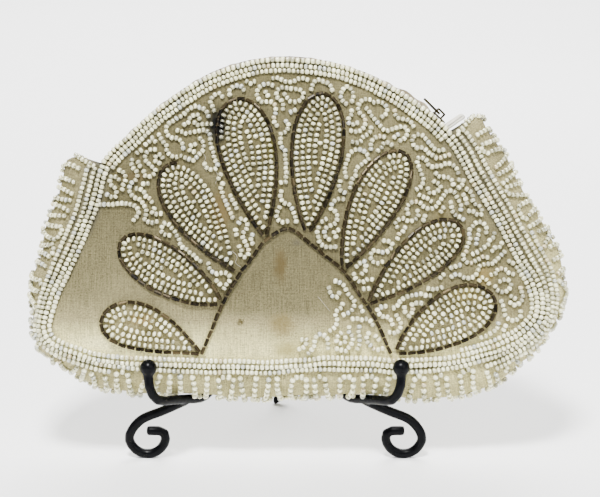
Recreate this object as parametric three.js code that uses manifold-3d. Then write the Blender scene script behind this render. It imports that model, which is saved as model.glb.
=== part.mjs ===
// Half-moon beaded evening purse with a zip along its arc, leaning on a bent-wire easel.
// Millimetres, +Z up, the decorated front faces -Y. The origin is the middle of the whole at floor level.
import * as THREE from 'three';
import { mergeVertices } from 'three/addons/utils/BufferGeometryUtils.js';
import Module from 'manifold-3d';

const wasm = await Module();
wasm.setup();

// Purse cloth
const seamWidth = 201;
const seamHeight = 125.4;
const clothWall = 1.6;
const gussetWidth = 34;
const frontPuff = 16.5;
const backPuff = 13;
const backRise = 2;
const puffCentreUp = 50;
const earRound = 6;
const pieceGap = 0.3;

// Zip
const zipHalfOpening = 6;
const tapeThick = 1;
const tapeLegDepth = 3.5;
const tapeLegThick = 0.8;
const chainHalfWidth = 1.8;
const chainHalfHeight = 0.6;
const sliderFromEnd = 7.4;
const sliderLength = 6.4;
const sliderWidth = 5.6;
const sliderPlate = 0.7;
const wedgeWidth = 2.4;
const crownWidth = 1.6;
const crownBar = 0.8;
const crownSpan = 2.6;
const crownRise = 1.7;
const hingeBack = 1.2;
const pullThick = 0.9;
const pullLength = 8.6;
const pullEyeLength = 4.15;
const pullEyeClearance = 0.4;
const pullSideBar = 0.8;
const crownFromHinge = 1;
const tabSetBack = 1.4;
const tabHeight = 9.5;
const tabThick = 2.4;
const tabWidth = 8;
const tabLeanDeg = 11;

// Bugle bead lines
const bugleRadius = 0.65;
const bugleLift = 0.35;
const beadDiameter = 2.2;

// Easel
const leanDeg = 16;
const wireRadius = 1.65;
const ballRadius = 3.15;
const standOffset = -8.8;
const armHeight = 25.4;
const hookHalfSpan = 50.2;
const hookReach = 16.5;
const hookBend = 3.6;
const ballUp = 0.3;
const dentDepth = 1.2;
const dentHalfWidth = 7.5;
const dentFade = 12;
const uprightHeight = 77;
const uprightInset = 12.5;
const archGap = 0.7;
const footHalfSpan = 60;
const scrollRadius = 7.5;
const scrollEndRadius = 2.5;
const scrollTail = 4.8;
const backFootReach = 62;
const backFootTurn = 3.2;
const knuckleRadius = 2.6;
const knuckleWidth = 12;
const knuckleGap = 0.5;

// Mesh fineness
const zipStations = 22;
const gussetStations = 48;
const gussetProfileSteps = 6;
const wireSides = 8;

const lean = THREE.MathUtils.degToRad(leanDeg);

// The seam seen from the front, clockwise from the zip's left end.
// Across is a share of seamWidth, up of seamHeight.
const SEAM_SHAPE = [
  { across: -0.395, up: 0.654 },
  { across: -0.336, up: 0.758 },
  { across: -0.256, up: 0.868 },
  { across: -0.154, up: 0.962 },
  { across: -0.040, up: 1.000 },
  { across: 0.075, up: 0.981 },
  { across: 0.187, up: 0.911 },
  { across: 0.311, up: 0.759 },
  { across: 0.371, up: 0.604 },
  { across: 0.441, up: 0.409 },
  { across: 0.491, up: 0.247 },
  { across: 0.489, up: 0.155 },
  { across: 0.453, up: 0.092 },
  { across: 0.373, up: 0.034 },
  { across: 0.259, up: 0.000 },
  { across: 0.030, up: 0.000 },
  { across: -0.224, up: 0.000 },
  { across: -0.393, up: 0.022 },
  { across: -0.483, up: 0.068 },
  { across: -0.508, up: 0.116 },
  { across: -0.500, up: 0.199 },
  { across: -0.458, up: 0.367 },
  { across: -0.423, up: 0.502 },
];
const ZIP_END_ROW = 7;

// How far the gusset stands open along its length, from the zip's right end round to its left end.
// Open is a share of half the gusset's width.
const GUSSET_OPENING = [
  { at: 0.000, open: 0.353 },
  { at: 0.030, open: 0.400 },
  { at: 0.100, open: 0.460 },
  { at: 0.170, open: 0.460 },
  { at: 0.200, open: 0.660 },
  { at: 0.240, open: 0.840 },
  { at: 0.270, open: 0.770 },
  { at: 0.310, open: 0.520 },
  { at: 0.360, open: 0.470 },
  { at: 0.420, open: 0.565 },
  { at: 0.550, open: 0.575 },
  { at: 0.670, open: 0.565 },
  { at: 0.720, open: 0.630 },
  { at: 0.765, open: 0.820 },
  { at: 0.820, open: 0.850 },
  { at: 0.870, open: 0.620 },
  { at: 0.930, open: 0.380 },
  { at: 0.960, open: 0.353 },
  { at: 1.000, open: 0.353 },
];

// Petals from the lower left round to the lower right. Tips are shares of the seam's width and height,
// length and width are shares of seamHeight, and loop is how much of the outline is still there.
const PETALS = [
  { tipAcross: -0.189, tipUp: 0.045, angle: 160.0,
    length: 0.338, width: 0.144, point: 1.2, bow: -0.016, loop: 1 },
  { tipAcross: -0.149, tipUp: 0.207, angle: 148.7,
    length: 0.380, width: 0.150, point: 0.6, bow: 0.004, loop: 1 },
  { tipAcross: -0.117, tipUp: 0.303, angle: 123.6,
    length: 0.415, width: 0.163, point: 1.0, bow: 0, loop: 0.56 },
  { tipAcross: -0.063, tipUp: 0.411, angle: 102.1,
    length: 0.463, width: 0.179, point: 1.0, bow: -0.004, loop: 1 },
  { tipAcross: 0.020, tipUp: 0.424, angle: 83.4,
    length: 0.461, width: 0.163, point: 0.8, bow: 0, loop: 1 },
  { tipAcross: 0.090, tipUp: 0.313, angle: 62.5,
    length: 0.426, width: 0.152, point: 0.8, bow: 0.008, loop: 1 },
  { tipAcross: 0.139, tipUp: 0.204, angle: 40.2,
    length: 0.392, width: 0.146, point: 1.0, bow: 0.004, loop: 1 },
  { tipAcross: 0.195, tipUp: 0.049, angle: 29.7,
    length: 0.360, width: 0.167, point: 0.8, bow: 0.008, loop: 1 },
];
const PETAL_START = 0.42;

// The fan's lower edge over its peak, as shares of the seam's width and height
const FAN_EDGE = [
  { across: -0.191, up: 0.043 },
  { across: -0.169, up: 0.124 },
  { across: -0.154, up: 0.184 },
  { across: -0.135, up: 0.244 },
  { across: -0.113, up: 0.303 },
  { across: -0.090, up: 0.348 },
  { across: -0.063, up: 0.405 },
  { across: -0.016, up: 0.446 },
  { across: 0.009, up: 0.419 },
  { across: 0.050, up: 0.365 },
  { across: 0.088, up: 0.317 },
  { across: 0.125, up: 0.233 },
  { across: 0.155, up: 0.160 },
  { across: 0.187, up: 0.045 },
];

const ivoryCloth = new THREE.MeshStandardMaterial({ color: 0xd9d0b4, roughness: 0.75, metalness: 0 });
const tapeCloth = new THREE.MeshStandardMaterial({ color: 0xe6dfc9, roughness: 0.85, metalness: 0 });
const agedBrass = new THREE.MeshStandardMaterial({ color: 0x5d5236, roughness: 0.4, metalness: 0.9 });
const darkSteel = new THREE.MeshStandardMaterial({ color: 0x4a4335, roughness: 0.35, metalness: 0.8 });
const blackIron = new THREE.MeshStandardMaterial({ color: 0x14161a, roughness: 0.5, metalness: 0.3 });

// Solids from grids of points

function geometryFrom(points, faces) {
  let volume = 0;
  for (const [a, b, c] of faces) {
    volume += points[a].dot(points[b].clone().cross(points[c]));
  }
  const geometry = new THREE.BufferGeometry();
  const places = points.flatMap((point) => point.toArray());
  geometry.setAttribute('position', new THREE.Float32BufferAttribute(places, 3));
  geometry.setIndex(faces.flatMap(([a, b, c]) => (volume > 0 ? [a, b, c] : [a, c, b])));
  return geometry;
}

function quad(faces, a, b, c, d) {
  faces.push([a, b, c], [a, c, d]);
}

// A sheet with thickness: two grids of the same size, joined along their four edges
function sheetSolid(outer, inner) {
  const rows = outer.length;
  const columns = outer[0].length;
  const points = [...outer.flat(), ...inner.flat()];
  const o = (i, j) => i * columns + j;
  const n = (i, j) => rows * columns + i * columns + j;
  const faces = [];
  for (let i = 0; i < rows - 1; i++) {
    for (let j = 0; j < columns - 1; j++) {
      quad(faces, o(i, j), o(i + 1, j), o(i + 1, j + 1), o(i, j + 1));
      quad(faces, n(i, j), n(i, j + 1), n(i + 1, j + 1), n(i + 1, j));
    }
    quad(faces, o(i + 1, 0), o(i, 0), n(i, 0), n(i + 1, 0));
    quad(faces, o(i, columns - 1), o(i + 1, columns - 1), n(i + 1, columns - 1), n(i, columns - 1));
  }
  for (let j = 0; j < columns - 1; j++) {
    quad(faces, o(0, j), o(0, j + 1), n(0, j + 1), n(0, j));
    quad(faces, o(rows - 1, j + 1), o(rows - 1, j), n(rows - 1, j), n(rows - 1, j + 1));
  }
  return geometryFrom(points, faces);
}

// A round plate with thickness: rings of points about a middle point, on both faces
function plateSolid(outerMiddle, outerRings, innerMiddle, innerRings) {
  const count = outerRings[0].length;
  const points = [outerMiddle, ...outerRings.flat(), innerMiddle, ...innerRings.flat()];
  const half = 1 + outerRings.length * count;
  const o = (i, j) => 1 + i * count + (j % count);
  const n = (i, j) => half + o(i, j);
  const faces = [];
  for (let j = 0; j < count; j++) {
    faces.push([0, o(0, j), o(0, j + 1)], [half, n(0, j + 1), n(0, j)]);
    for (let i = 0; i < outerRings.length - 1; i++) {
      quad(faces, o(i, j), o(i + 1, j), o(i + 1, j + 1), o(i, j + 1));
      quad(faces, n(i, j), n(i, j + 1), n(i + 1, j + 1), n(i + 1, j));
    }
    const edge = outerRings.length - 1;
    quad(faces, o(edge, j + 1), o(edge, j), n(edge, j), n(edge, j + 1));
  }
  return geometryFrom(points, faces);
}

// A bar with one cross-section, given as [across, out] pairs, carried along frames
function barSolid(section, frames) {
  const count = section.length;
  const points = frames.flatMap(({ middle, across, out }) =>
    section.map(([p, q]) => middle.clone().addScaledVector(across, p).addScaledVector(out, q)));
  const faces = [];
  for (let i = 0; i < frames.length - 1; i++) {
    for (let j = 0; j < count; j++) {
      const k = (j + 1) % count;
      quad(faces, i * count + j, i * count + k, (i + 1) * count + k, (i + 1) * count + j);
    }
  }
  const last = (frames.length - 1) * count;
  const flat = section.map(([p, q]) => new THREE.Vector2(p, q));
  const capSign = THREE.ShapeUtils.isClockWise(flat) ? -1 : 1;
  for (const [a, b, c] of THREE.ShapeUtils.triangulateShape(flat, [])) {
    const toNext = new THREE.Vector2().subVectors(flat[b], flat[a]);
    const turned = toNext.cross(new THREE.Vector2().subVectors(flat[c], flat[a]));
    const [x, y, z] = turned * capSign > 0 ? [a, b, c] : [a, c, b];
    faces.push([x, z, y], [last + x, last + y, last + z]);
  }
  return geometryFrom(points, faces);
}

function wireSolid(points, radius, steps) {
  const ring = [];
  for (let i = 0; i < wireSides; i++) {
    const angle = (2 * Math.PI * (i + 0.5)) / wireSides;
    ring.push(new THREE.Vector2(radius * Math.cos(angle), radius * Math.sin(angle)));
  }
  const extrudePath = new THREE.CatmullRomCurve3(points, false, 'centripetal');
  return new THREE.ExtrudeGeometry(new THREE.Shape(ring), { steps, extrudePath, bevelEnabled: false });
}

function solidOf(geometry) {
  const plain = geometry.clone();
  plain.deleteAttribute('normal');
  plain.deleteAttribute('uv');
  const merged = mergeVertices(plain, 1e-4);
  return new wasm.Manifold(new wasm.Mesh({
    numProp: 3,
    vertProperties: new Float32Array(merged.attributes.position.array),
    triVerts: new Uint32Array(merged.index.array),
  }));
}

function fused(geometries) {
  const mesh = geometries.map(solidOf).reduce((all, next) => all.add(next)).getMesh();
  const geometry = new THREE.BufferGeometry();
  const places = Float32Array.from(mesh.vertProperties);
  geometry.setAttribute('position', new THREE.Float32BufferAttribute(places, 3));
  geometry.setIndex(Array.from(mesh.triVerts));
  return geometry;
}

// The seam and its stations

const seamRows = SEAM_SHAPE.map(({ across, up }) =>
  new THREE.Vector3(across * seamWidth, 0, up * seamHeight));
const seamCurve = new THREE.CatmullRomCurve3(seamRows, true, 'centripetal');

// Points at the given shares of the length of a stretch of the seam
function seamStretch(startRow, endRow, shares) {
  const fine = 600;
  const samples = [];
  for (let i = 0; i <= fine; i++) {
    samples.push(seamCurve.getPoint((startRow + ((endRow - startRow) * i) / fine) / seamRows.length));
  }
  const lengths = [0];
  for (let i = 1; i <= fine; i++) lengths.push(lengths[i - 1] + samples[i].distanceTo(samples[i - 1]));
  const total = lengths[fine];
  const points = shares(total).map((distance) => {
    const next = Math.max(1, lengths.findIndex((l) => l >= distance - 1e-9));
    const mix = (distance - lengths[next - 1]) / (lengths[next] - lengths[next - 1]);
    return { point: samples[next - 1].clone().lerp(samples[next], mix), distance };
  });
  return { points, total };
}

function evenly(from, to, count) {
  return Array.from({ length: count + 1 }, (_, i) => from + ((to - from) * i) / count);
}

function tableValue(table, at) {
  const i = Math.min(table.length - 2, Math.max(0, table.findIndex((row) => row.at > at) - 1));
  const share = (at - table[i].at) / (table[i + 1].at - table[i].at);
  return THREE.MathUtils.lerp(table[i].open, table[i + 1].open, THREE.MathUtils.smoothstep(share, 0, 1));
}

const zipRun = seamStretch(0, ZIP_END_ROW, (total) => evenly(0, total, zipStations));
const EAR_STEPS = [0, 0.12, 0.45];
const gussetRun = seamStretch(ZIP_END_ROW, seamRows.length, (total) => [
  ...EAR_STEPS.map((share) => share * earRound),
  ...evenly(earRound, total - earRound, gussetStations),
  ...EAR_STEPS.map((share) => total - share * earRound).reverse(),
]);

// A station's front and back seam points, the middle between them, and the ways across and out
function stationAt(point, halfOpening, along, distance) {
  const front = new THREE.Vector3(point.x, -halfOpening, point.z);
  const back = new THREE.Vector3(point.x, halfOpening, point.z * (1 + backRise / seamHeight));
  const middle = front.clone().add(back).multiplyScalar(0.5);
  const across = back.clone().sub(front).normalize();
  const out = along.clone().cross(across).normalize();
  return { front, back, middle, across, out, along, distance, half: front.distanceTo(back) / 2 };
}

function stationsOf(run, openingAt) {
  return run.points.map(({ point, distance }, i) => {
    const before = run.points[Math.max(0, i - 1)].point;
    const after = run.points[Math.min(run.points.length - 1, i + 1)].point;
    const along = after.clone().sub(before).normalize();
    return stationAt(point, openingAt(distance / run.total), along, distance);
  });
}

const zip = stationsOf(zipRun, () => zipHalfOpening);
const gusset = stationsOf(gussetRun, (share) => tableValue(GUSSET_OPENING, share) * (gussetWidth / 2));
const wholeSeam = [...zip.slice(0, -1), ...gusset.slice(0, -1)];

// The gusset strip keeps its width, so it bulges out more where the two seams lie closer together
function strapBulge(half) {
  return Math.sqrt(2 * (gussetWidth / Math.PI) ** 2 - half ** 2);
}

function earShare(distance) {
  const fromEnd = Math.max(0, Math.min(distance, gussetRun.total - distance));
  return Math.sqrt(1 - (1 - Math.min(1, fromEnd / earRound)) ** 2);
}

// Panels

function panelRings(side, rings, depthTaken) {
  const puff = (side < 0 ? frontPuff : backPuff) - depthTaken;
  const rise = side < 0 ? 1 : 1 + backRise / seamHeight;
  const middle = new THREE.Vector3(0, side * puff, puffCentreUp * rise);
  return {
    middle,
    rings: rings.map((ring) => wholeSeam.map((station) => {
      const corner = side < 0 ? station.front : station.back;
      const edge = corner.clone().addScaledVector(station.out, -pieceGap);
      const half = Math.abs(edge.y) - depthTaken;
      const depth = half * ring ** 2 + puff * (1 - ring ** 2);
      return new THREE.Vector3(
        THREE.MathUtils.lerp(middle.x, edge.x, ring),
        side * depth,
        THREE.MathUtils.lerp(middle.z, edge.z, ring),
      );
    })),
  };
}

function panelSolid(side, rings) {
  const outer = panelRings(side, rings, 0);
  const inner = panelRings(side, rings, clothWall);
  return plateSolid(outer.middle, outer.rings, inner.middle, inner.rings);
}

// How far the front panel stands forward at a place on it
const seamByAngle = wholeSeam
  .map(({ front }) => ({
    angle: Math.atan2(front.z - puffCentreUp, front.x),
    reach: Math.hypot(front.x, front.z - puffCentreUp),
    half: -front.y,
  }))
  .sort((a, b) => a.angle - b.angle);

function frontDepth(x, z) {
  const angle = Math.atan2(z - puffCentreUp, x);
  const count = seamByAngle.length;
  const found = seamByAngle.findIndex((row) => row.angle > angle);
  const next = seamByAngle[found < 0 ? 0 : found];
  const before = seamByAngle[((found < 0 ? 0 : found) + count - 1) % count];
  const turn = (value) => (value + 4 * Math.PI) % (2 * Math.PI);
  const mix = turn(angle - before.angle) / turn(next.angle - before.angle);
  const reach = THREE.MathUtils.lerp(before.reach, next.reach, mix);
  const half = THREE.MathUtils.lerp(before.half, next.half, mix);
  const ring = Math.min(1, Math.hypot(x, z - puffCentreUp) / reach);
  return half * ring ** 2 + frontPuff * (1 - ring ** 2);
}

// Gusset, with a dent over each arm of the easel

const armSplay = 0.83;
const armMiddle = hookHalfSpan - (armSplay * hookReach) / 2;
const overArms = gusset.filter(({ middle, out }) =>
  out.z < -0.9 && Math.abs(Math.abs(middle.x - standOffset) - armMiddle) < dentHalfWidth + 2 * wireRadius);
const armBulge = strapBulge(Math.min(...overArms.map(({ half }) => half)));
const armLevel = -(armBulge - dentDepth) - pieceGap - wireRadius;

function armDent(point) {
  const arm = hookHalfSpan - armSplay * (point.y + hookReach);
  const offset = Math.abs(Math.abs(point.x - standOffset) - arm);
  const fade = 1 - THREE.MathUtils.smoothstep(offset, dentHalfWidth, dentHalfWidth + dentFade);
  return dentDepth * fade;
}

function gussetGrid(inset) {
  return gusset.map(({ middle, across, out, half, distance }) => {
    const shifted = Math.min(distance, gussetRun.total - distance) - inset;
    const wall = inset ? 0 : clothWall;
    const bulge = Math.max(pieceGap, strapBulge(half) * earShare(shifted) + wall - inset);
    const full = Math.min(bulge, strapBulge(half) - inset);
    return evenly(-Math.PI / 2, Math.PI / 2, gussetProfileSteps).map((angle) => {
      const point = middle.clone().addScaledVector(across, (half - inset) * Math.sin(angle));
      const dent = out.z < -0.9 ? armDent(point) : 0;
      return point.addScaledVector(out, (full - dent) * Math.cos(angle));
    });
  });
}

// Zip

const tapeWall = zipHalfOpening - clothWall - pieceGap;
const tapeSection = [
  [-tapeWall, -tapeLegDepth],
  [-tapeWall + tapeLegThick, -tapeLegDepth],
  [-tapeWall + tapeLegThick, -tapeThick / 2],
  [-chainHalfWidth - pieceGap, -tapeThick / 2],
  [-chainHalfWidth - pieceGap, tapeThick / 2],
  [-tapeWall, tapeThick / 2],
];
const chainSection = [
  [-chainHalfWidth, -chainHalfHeight],
  [chainHalfWidth, -chainHalfHeight],
  [chainHalfWidth, chainHalfHeight],
  [-chainHalfWidth, chainHalfHeight],
];

function zipFrameAt(distance) {
  const found = zip.findIndex((station) => station.distance >= distance - 1e-9);
  const next = Math.max(1, found);
  const [a, b] = [zip[next - 1], zip[next]];
  const mix = (distance - a.distance) / (b.distance - a.distance);
  const blend = (key) => a[key].clone().lerp(b[key], mix);
  const across = blend('across').normalize();
  const along = b.middle.clone().sub(a.middle).normalize();
  return { middle: blend('middle'), across, out: along.clone().cross(across).normalize(), along };
}

function zipFrames(from, to) {
  const between = zip.map(({ distance }) => distance).filter((d) => d > from + 1 && d < to - 1);
  return [from, ...between, to].map(zipFrameAt);
}

function placeInFrame(object, { middle, across, out, along }) {
  object.matrix.makeBasis(along, across, out).setPosition(middle);
  object.matrix.decompose(object.position, object.quaternion, object.scale);
}

const plateGap = chainHalfHeight + pieceGap;
const plateTop = plateGap + sliderPlate;
const hingeUp = plateTop + crownRise / 2;

function box(width, depth, height, x, y, z) {
  return new THREE.BoxGeometry(width, depth, height).translate(x, y, z);
}

function sliderSolid() {
  const plateUp = plateGap + sliderPlate / 2;
  const wedgeLength = sliderLength / 2 - chainHalfHeight;
  const crown = new THREE.Shape();
  const left = -hingeBack - crownFromHinge - crownBar;
  const width = crownSpan + 2 * crownBar;
  const top = crownRise + crownBar;
  const right = left + width;
  const corner = crownBar / 2;
  crown.moveTo(left, -sliderPlate / 2).lineTo(right, -sliderPlate / 2).lineTo(right, top - corner);
  crown.lineTo(right - corner, top).lineTo(left + corner, top).lineTo(left, top - corner);
  const opening = new THREE.Path();
  opening.moveTo(left + crownBar, 0).lineTo(left + crownBar, crownRise);
  opening.lineTo(left + crownBar + crownSpan, crownRise).lineTo(left + crownBar + crownSpan, 0);
  crown.holes.push(opening);
  const arch = new THREE.ExtrudeGeometry(crown, { depth: crownWidth, bevelEnabled: false });
  arch.translate(0, 0, -crownWidth / 2).rotateX(Math.PI / 2).translate(0, 0, plateTop);
  return fused([
    box(sliderLength, sliderWidth, sliderPlate, 0, 0, plateUp),
    box(sliderLength, sliderWidth, sliderPlate, 0, 0, -plateUp),
    box(wedgeLength, wedgeWidth, 2 * plateUp, (sliderLength - wedgeLength) / 2, 0, 0),
    arch,
  ]);
}

function pullSolid() {
  const eyeHalf = crownWidth / 2 + pullEyeClearance;
  const half = eyeHalf + pullSideBar;
  const axle = pullThick / 2;
  const shape = new THREE.Shape();
  shape.moveTo(axle, -half).lineTo(axle, half).lineTo(-axle - pullEyeLength - pullSideBar, half);
  shape.lineTo(-pullLength + half, half * 0.8);
  shape.absarc(-pullLength + half * 0.8, 0, half * 0.8, Math.PI / 2, (3 * Math.PI) / 2);
  shape.lineTo(-axle - pullEyeLength - pullSideBar, -half);
  const eye = new THREE.Path();
  eye.moveTo(-axle, -eyeHalf).lineTo(-axle - pullEyeLength, -eyeHalf);
  eye.lineTo(-axle - pullEyeLength, eyeHalf).lineTo(-axle, eyeHalf);
  shape.holes.push(eye);
  return new THREE.ExtrudeGeometry(shape, { depth: pullThick, bevelEnabled: false, curveSegments: 6 })
    .translate(0, 0, -pullThick / 2);
}

function tabSolid() {
  const shape = new THREE.Shape();
  const corner = tabThick / 2;
  shape.moveTo(-corner, -tapeThick / 2).lineTo(corner, -tapeThick / 2).lineTo(corner, tabHeight - corner);
  shape.absarc(0, tabHeight - corner, corner, 0, Math.PI);
  return new THREE.ExtrudeGeometry(shape, { depth: tabWidth, bevelEnabled: false, curveSegments: 6 })
    .translate(0, 0, -tabWidth / 2)
    .rotateX(Math.PI / 2)
    .rotateY(THREE.MathUtils.degToRad(tabLeanDeg));
}

// Bugle bead lines on the front panel

function onFront(x, z) {
  return new THREE.Vector3(x, -frontDepth(x, z) - bugleLift - bugleRadius, z);
}

function petalPoints({ tipAcross, tipUp, angle, length, width, point, bow, loop }) {
  const turn = THREE.MathUtils.degToRad(angle);
  const fullest = Math.max(...evenly(0, Math.PI, 60).map((t) => Math.sin(t) * Math.sin(t / 2) ** point));
  const end = PETAL_START + (2 * Math.PI - 2 * PETAL_START) * loop;
  const count = Math.round(22 * loop);
  return evenly(PETAL_START, end, count).map((t) => {
    const share = (1 - Math.cos(t)) / 2;
    const along = share * length * seamHeight;
    const swell = (Math.sin(t) * Math.sin(t / 2) ** point) / fullest;
    const aside = (swell * width / 2 + bow * 4 * share * (1 - share)) * seamHeight;
    const x = tipAcross * seamWidth + along * Math.cos(turn) - aside * Math.sin(turn);
    const z = tipUp * seamHeight + along * Math.sin(turn) + aside * Math.cos(turn);
    return onFront(x, z);
  });
}

function fanPoints() {
  return FAN_EDGE.map(({ across, up }) => onFront(across * seamWidth, up * seamHeight));
}

// Easel: each side is one wire from its ball under the purse and up behind it, with a scroll foot below

const purseLift = armHeight - armLevel * Math.cos(lean);

function leaned(x, y, z) {
  return new THREE.Vector3(x, y, z)
    .applyAxisAngle(new THREE.Vector3(1, 0, 0), -lean)
    .add(new THREE.Vector3(0, 0, purseLift));
}

const uprightBack = backPuff + beadDiameter + 2 * pieceGap + wireRadius;
const archHalf = wireRadius + archGap;
const underHalf = hookHalfSpan - armSplay * hookReach;

function armPoints(side) {
  const place = (out, y, z) => leaned(standOffset + side * out, y, z);
  const rising = (share) => THREE.MathUtils.lerp(underHalf - uprightInset, archHalf, share);
  return [
    place(hookHalfSpan, -hookReach, ballUp),
    place(hookHalfSpan, -hookReach, armLevel * 0.35),
    place(hookHalfSpan - hookBend * 0.28, -hookReach + hookBend * 0.11, armLevel * 0.72),
    place(hookHalfSpan - hookBend, -hookReach + hookBend * 0.83, armLevel * 0.98),
    place((hookHalfSpan + underHalf - hookBend * 0.56) / 2, -hookReach / 2, armLevel),
    place(underHalf, 0, armLevel),
    place(underHalf - uprightInset * 0.44, uprightBack * 0.42, armLevel),
    place(underHalf - uprightInset * 0.72, uprightBack * 0.75, armLevel * 0.82),
    place(underHalf - uprightInset * 0.88, uprightBack * 0.96, armLevel * 0.4),
    place(rising(0), uprightBack, uprightHeight * 0.06),
    place(rising(0.44), uprightBack, uprightHeight * 0.5),
    place(rising(0.93), uprightBack, uprightHeight * 0.88),
    place(archHalf, uprightBack, uprightHeight),
  ];
}

function footPoints(side) {
  const start = leaned(0, 0, armLevel);
  const place = (out, z) => new THREE.Vector3(standOffset + side * out, start.y, z);
  const scrollOut = footHalfSpan - scrollRadius;
  const scrollUp = scrollRadius + wireRadius;
  const endOut = scrollOut - scrollRadius + scrollEndRadius;
  const bowl = evenly(0, -Math.PI, 7).map((t) =>
    place(scrollOut + scrollRadius * Math.cos(t), scrollUp + scrollRadius * Math.sin(t)));
  const curl = evenly(Math.PI, Math.PI / 2, 3).slice(1).map((t) =>
    place(endOut + scrollEndRadius * Math.cos(t), scrollUp + scrollEndRadius * Math.sin(t)));
  return [
    place(underHalf, start.z - wireRadius * 0.4),
    place((underHalf + scrollOut + scrollRadius * 0.26) / 2, THREE.MathUtils.lerp(start.z, scrollUp, 0.3)),
    place(scrollOut + scrollRadius * 0.4, THREE.MathUtils.lerp(start.z, scrollUp, 0.58)),
    ...bowl,
    ...curl,
    place(endOut + scrollTail, scrollUp + scrollEndRadius),
  ];
}

function legSolid(side) {
  const arm = armPoints(side);
  const ball = new THREE.SphereGeometry(ballRadius, 12, 8).translate(arm[0].x, arm[0].y, arm[0].z);
  return fused([wireSolid(arm, wireRadius, 38), wireSolid(footPoints(side), wireRadius, 26), ball]);
}

function backLegSolid() {
  const top = leaned(standOffset, uprightBack, uprightHeight + knuckleGap + knuckleRadius);
  const knuckle = new THREE.CylinderGeometry(knuckleRadius, knuckleRadius, knuckleWidth, 12)
    .rotateZ(Math.PI / 2)
    .translate(top.x, top.y, top.z);
  const foot = new THREE.Vector3(standOffset, backFootReach, 0);
  const place = (x, share, z) =>
    new THREE.Vector3(foot.x + x, THREE.MathUtils.lerp(top.y, foot.y, share), z);
  const leg = wireSolid([
    top,
    place(backFootTurn * 0.3, 0.3, top.z * 0.88),
    place(backFootTurn * 0.65, 0.65, top.z * 0.5),
    place(backFootTurn * 0.95, 0.95, top.z * 0.14),
    place(backFootTurn * 0.8, 1, wireRadius * 2.6),
    place(backFootTurn * 0.45, 1, wireRadius * 1.3),
    place(0, 1, wireRadius),
    place(-backFootTurn * 0.5, 1, wireRadius),
  ], wireRadius, 22);
  return fused([knuckle, leg]);
}

// Assembly

function named(name, geometry, material) {
  const mesh = new THREE.Mesh(geometry, material);
  mesh.name = name;
  return mesh;
}

function zipParts() {
  const tapeEnd = zipRun.total - tabSetBack - tabThick - 2 * pieceGap;
  const sliderPlace = zipRun.total - sliderFromEnd;
  const tapeFrames = zipFrames(pieceGap, tapeEnd);
  const mirrored = tapeSection.map(([p, q]) => [-p, q]);
  const slider = named('zip_slider', sliderSolid(), agedBrass);
  const pull = named('zip_pull', pullSolid(), agedBrass);
  const sliderGroup = new THREE.Group();
  pull.position.set(-hingeBack, 0, hingeUp);
  sliderGroup.add(slider, pull);
  placeInFrame(sliderGroup, zipFrameAt(sliderPlace));
  const tab = named('zip_end_tab', tabSolid(), tapeCloth);
  placeInFrame(tab, zipFrameAt(zipRun.total - tabSetBack - tabThick / 2));
  return [
    named('zip_tape_front', barSolid(tapeSection, tapeFrames), tapeCloth),
    named('zip_tape_back', barSolid(mirrored, tapeFrames), tapeCloth),
    named('zip_chain', barSolid(chainSection, zipFrames(2 * pieceGap, sliderPlace)), agedBrass),
    sliderGroup,
    tab,
  ];
}

function purse() {
  const group = new THREE.Group();
  group.add(
    named('front_panel', panelSolid(-1, [0.3, 0.6, 0.8, 0.93, 1]), ivoryCloth),
    named('back_panel', panelSolid(1, [0.4, 0.75, 0.93, 1]), ivoryCloth),
    named('gusset', sheetSolid(gussetGrid(0), gussetGrid(clothWall)), ivoryCloth),
    ...zipParts(),
  );
  PETALS.forEach((petal, i) => {
    const points = petalPoints(petal);
    const line = wireSolid(points, bugleRadius, points.length - 1);
    group.add(named(`petal_outline_${i + 1}`, line, darkSteel));
  });
  group.add(named('fan_edge', wireSolid(fanPoints(), bugleRadius, 30), darkSteel));
  group.rotation.x = -lean;
  group.position.z = purseLift;
  return group;
}

function easel() {
  const group = new THREE.Group();
  group.add(
    named('stand_leg_left', legSolid(-1), blackIron),
    named('stand_leg_right', legSolid(1), blackIron),
    named('stand_back_leg', backLegSolid(), blackIron),
  );
  return group;
}

const whole = new THREE.Group();
whole.add(purse(), easel());
const bounds = new THREE.Box3().setFromObject(whole, true);
const middle = bounds.getCenter(new THREE.Vector3());
whole.position.set(-middle.x, -middle.y, -bounds.min.z);

export default whole;
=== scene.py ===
# Looks of a half-moon beaded evening purse on a black wire easel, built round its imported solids.
# Shapes are worked out in millimetres in the purse's own leaning frame (x right, y back, z up from the
# middle of its lower seam), then placed in the part's frame in metres.
import math
import random

import bmesh
import bpy
import numpy as np
from mathutils import Matrix, Vector
from mathutils.bvhtree import BVHTree
from mathutils.kdtree import KDTree


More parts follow.
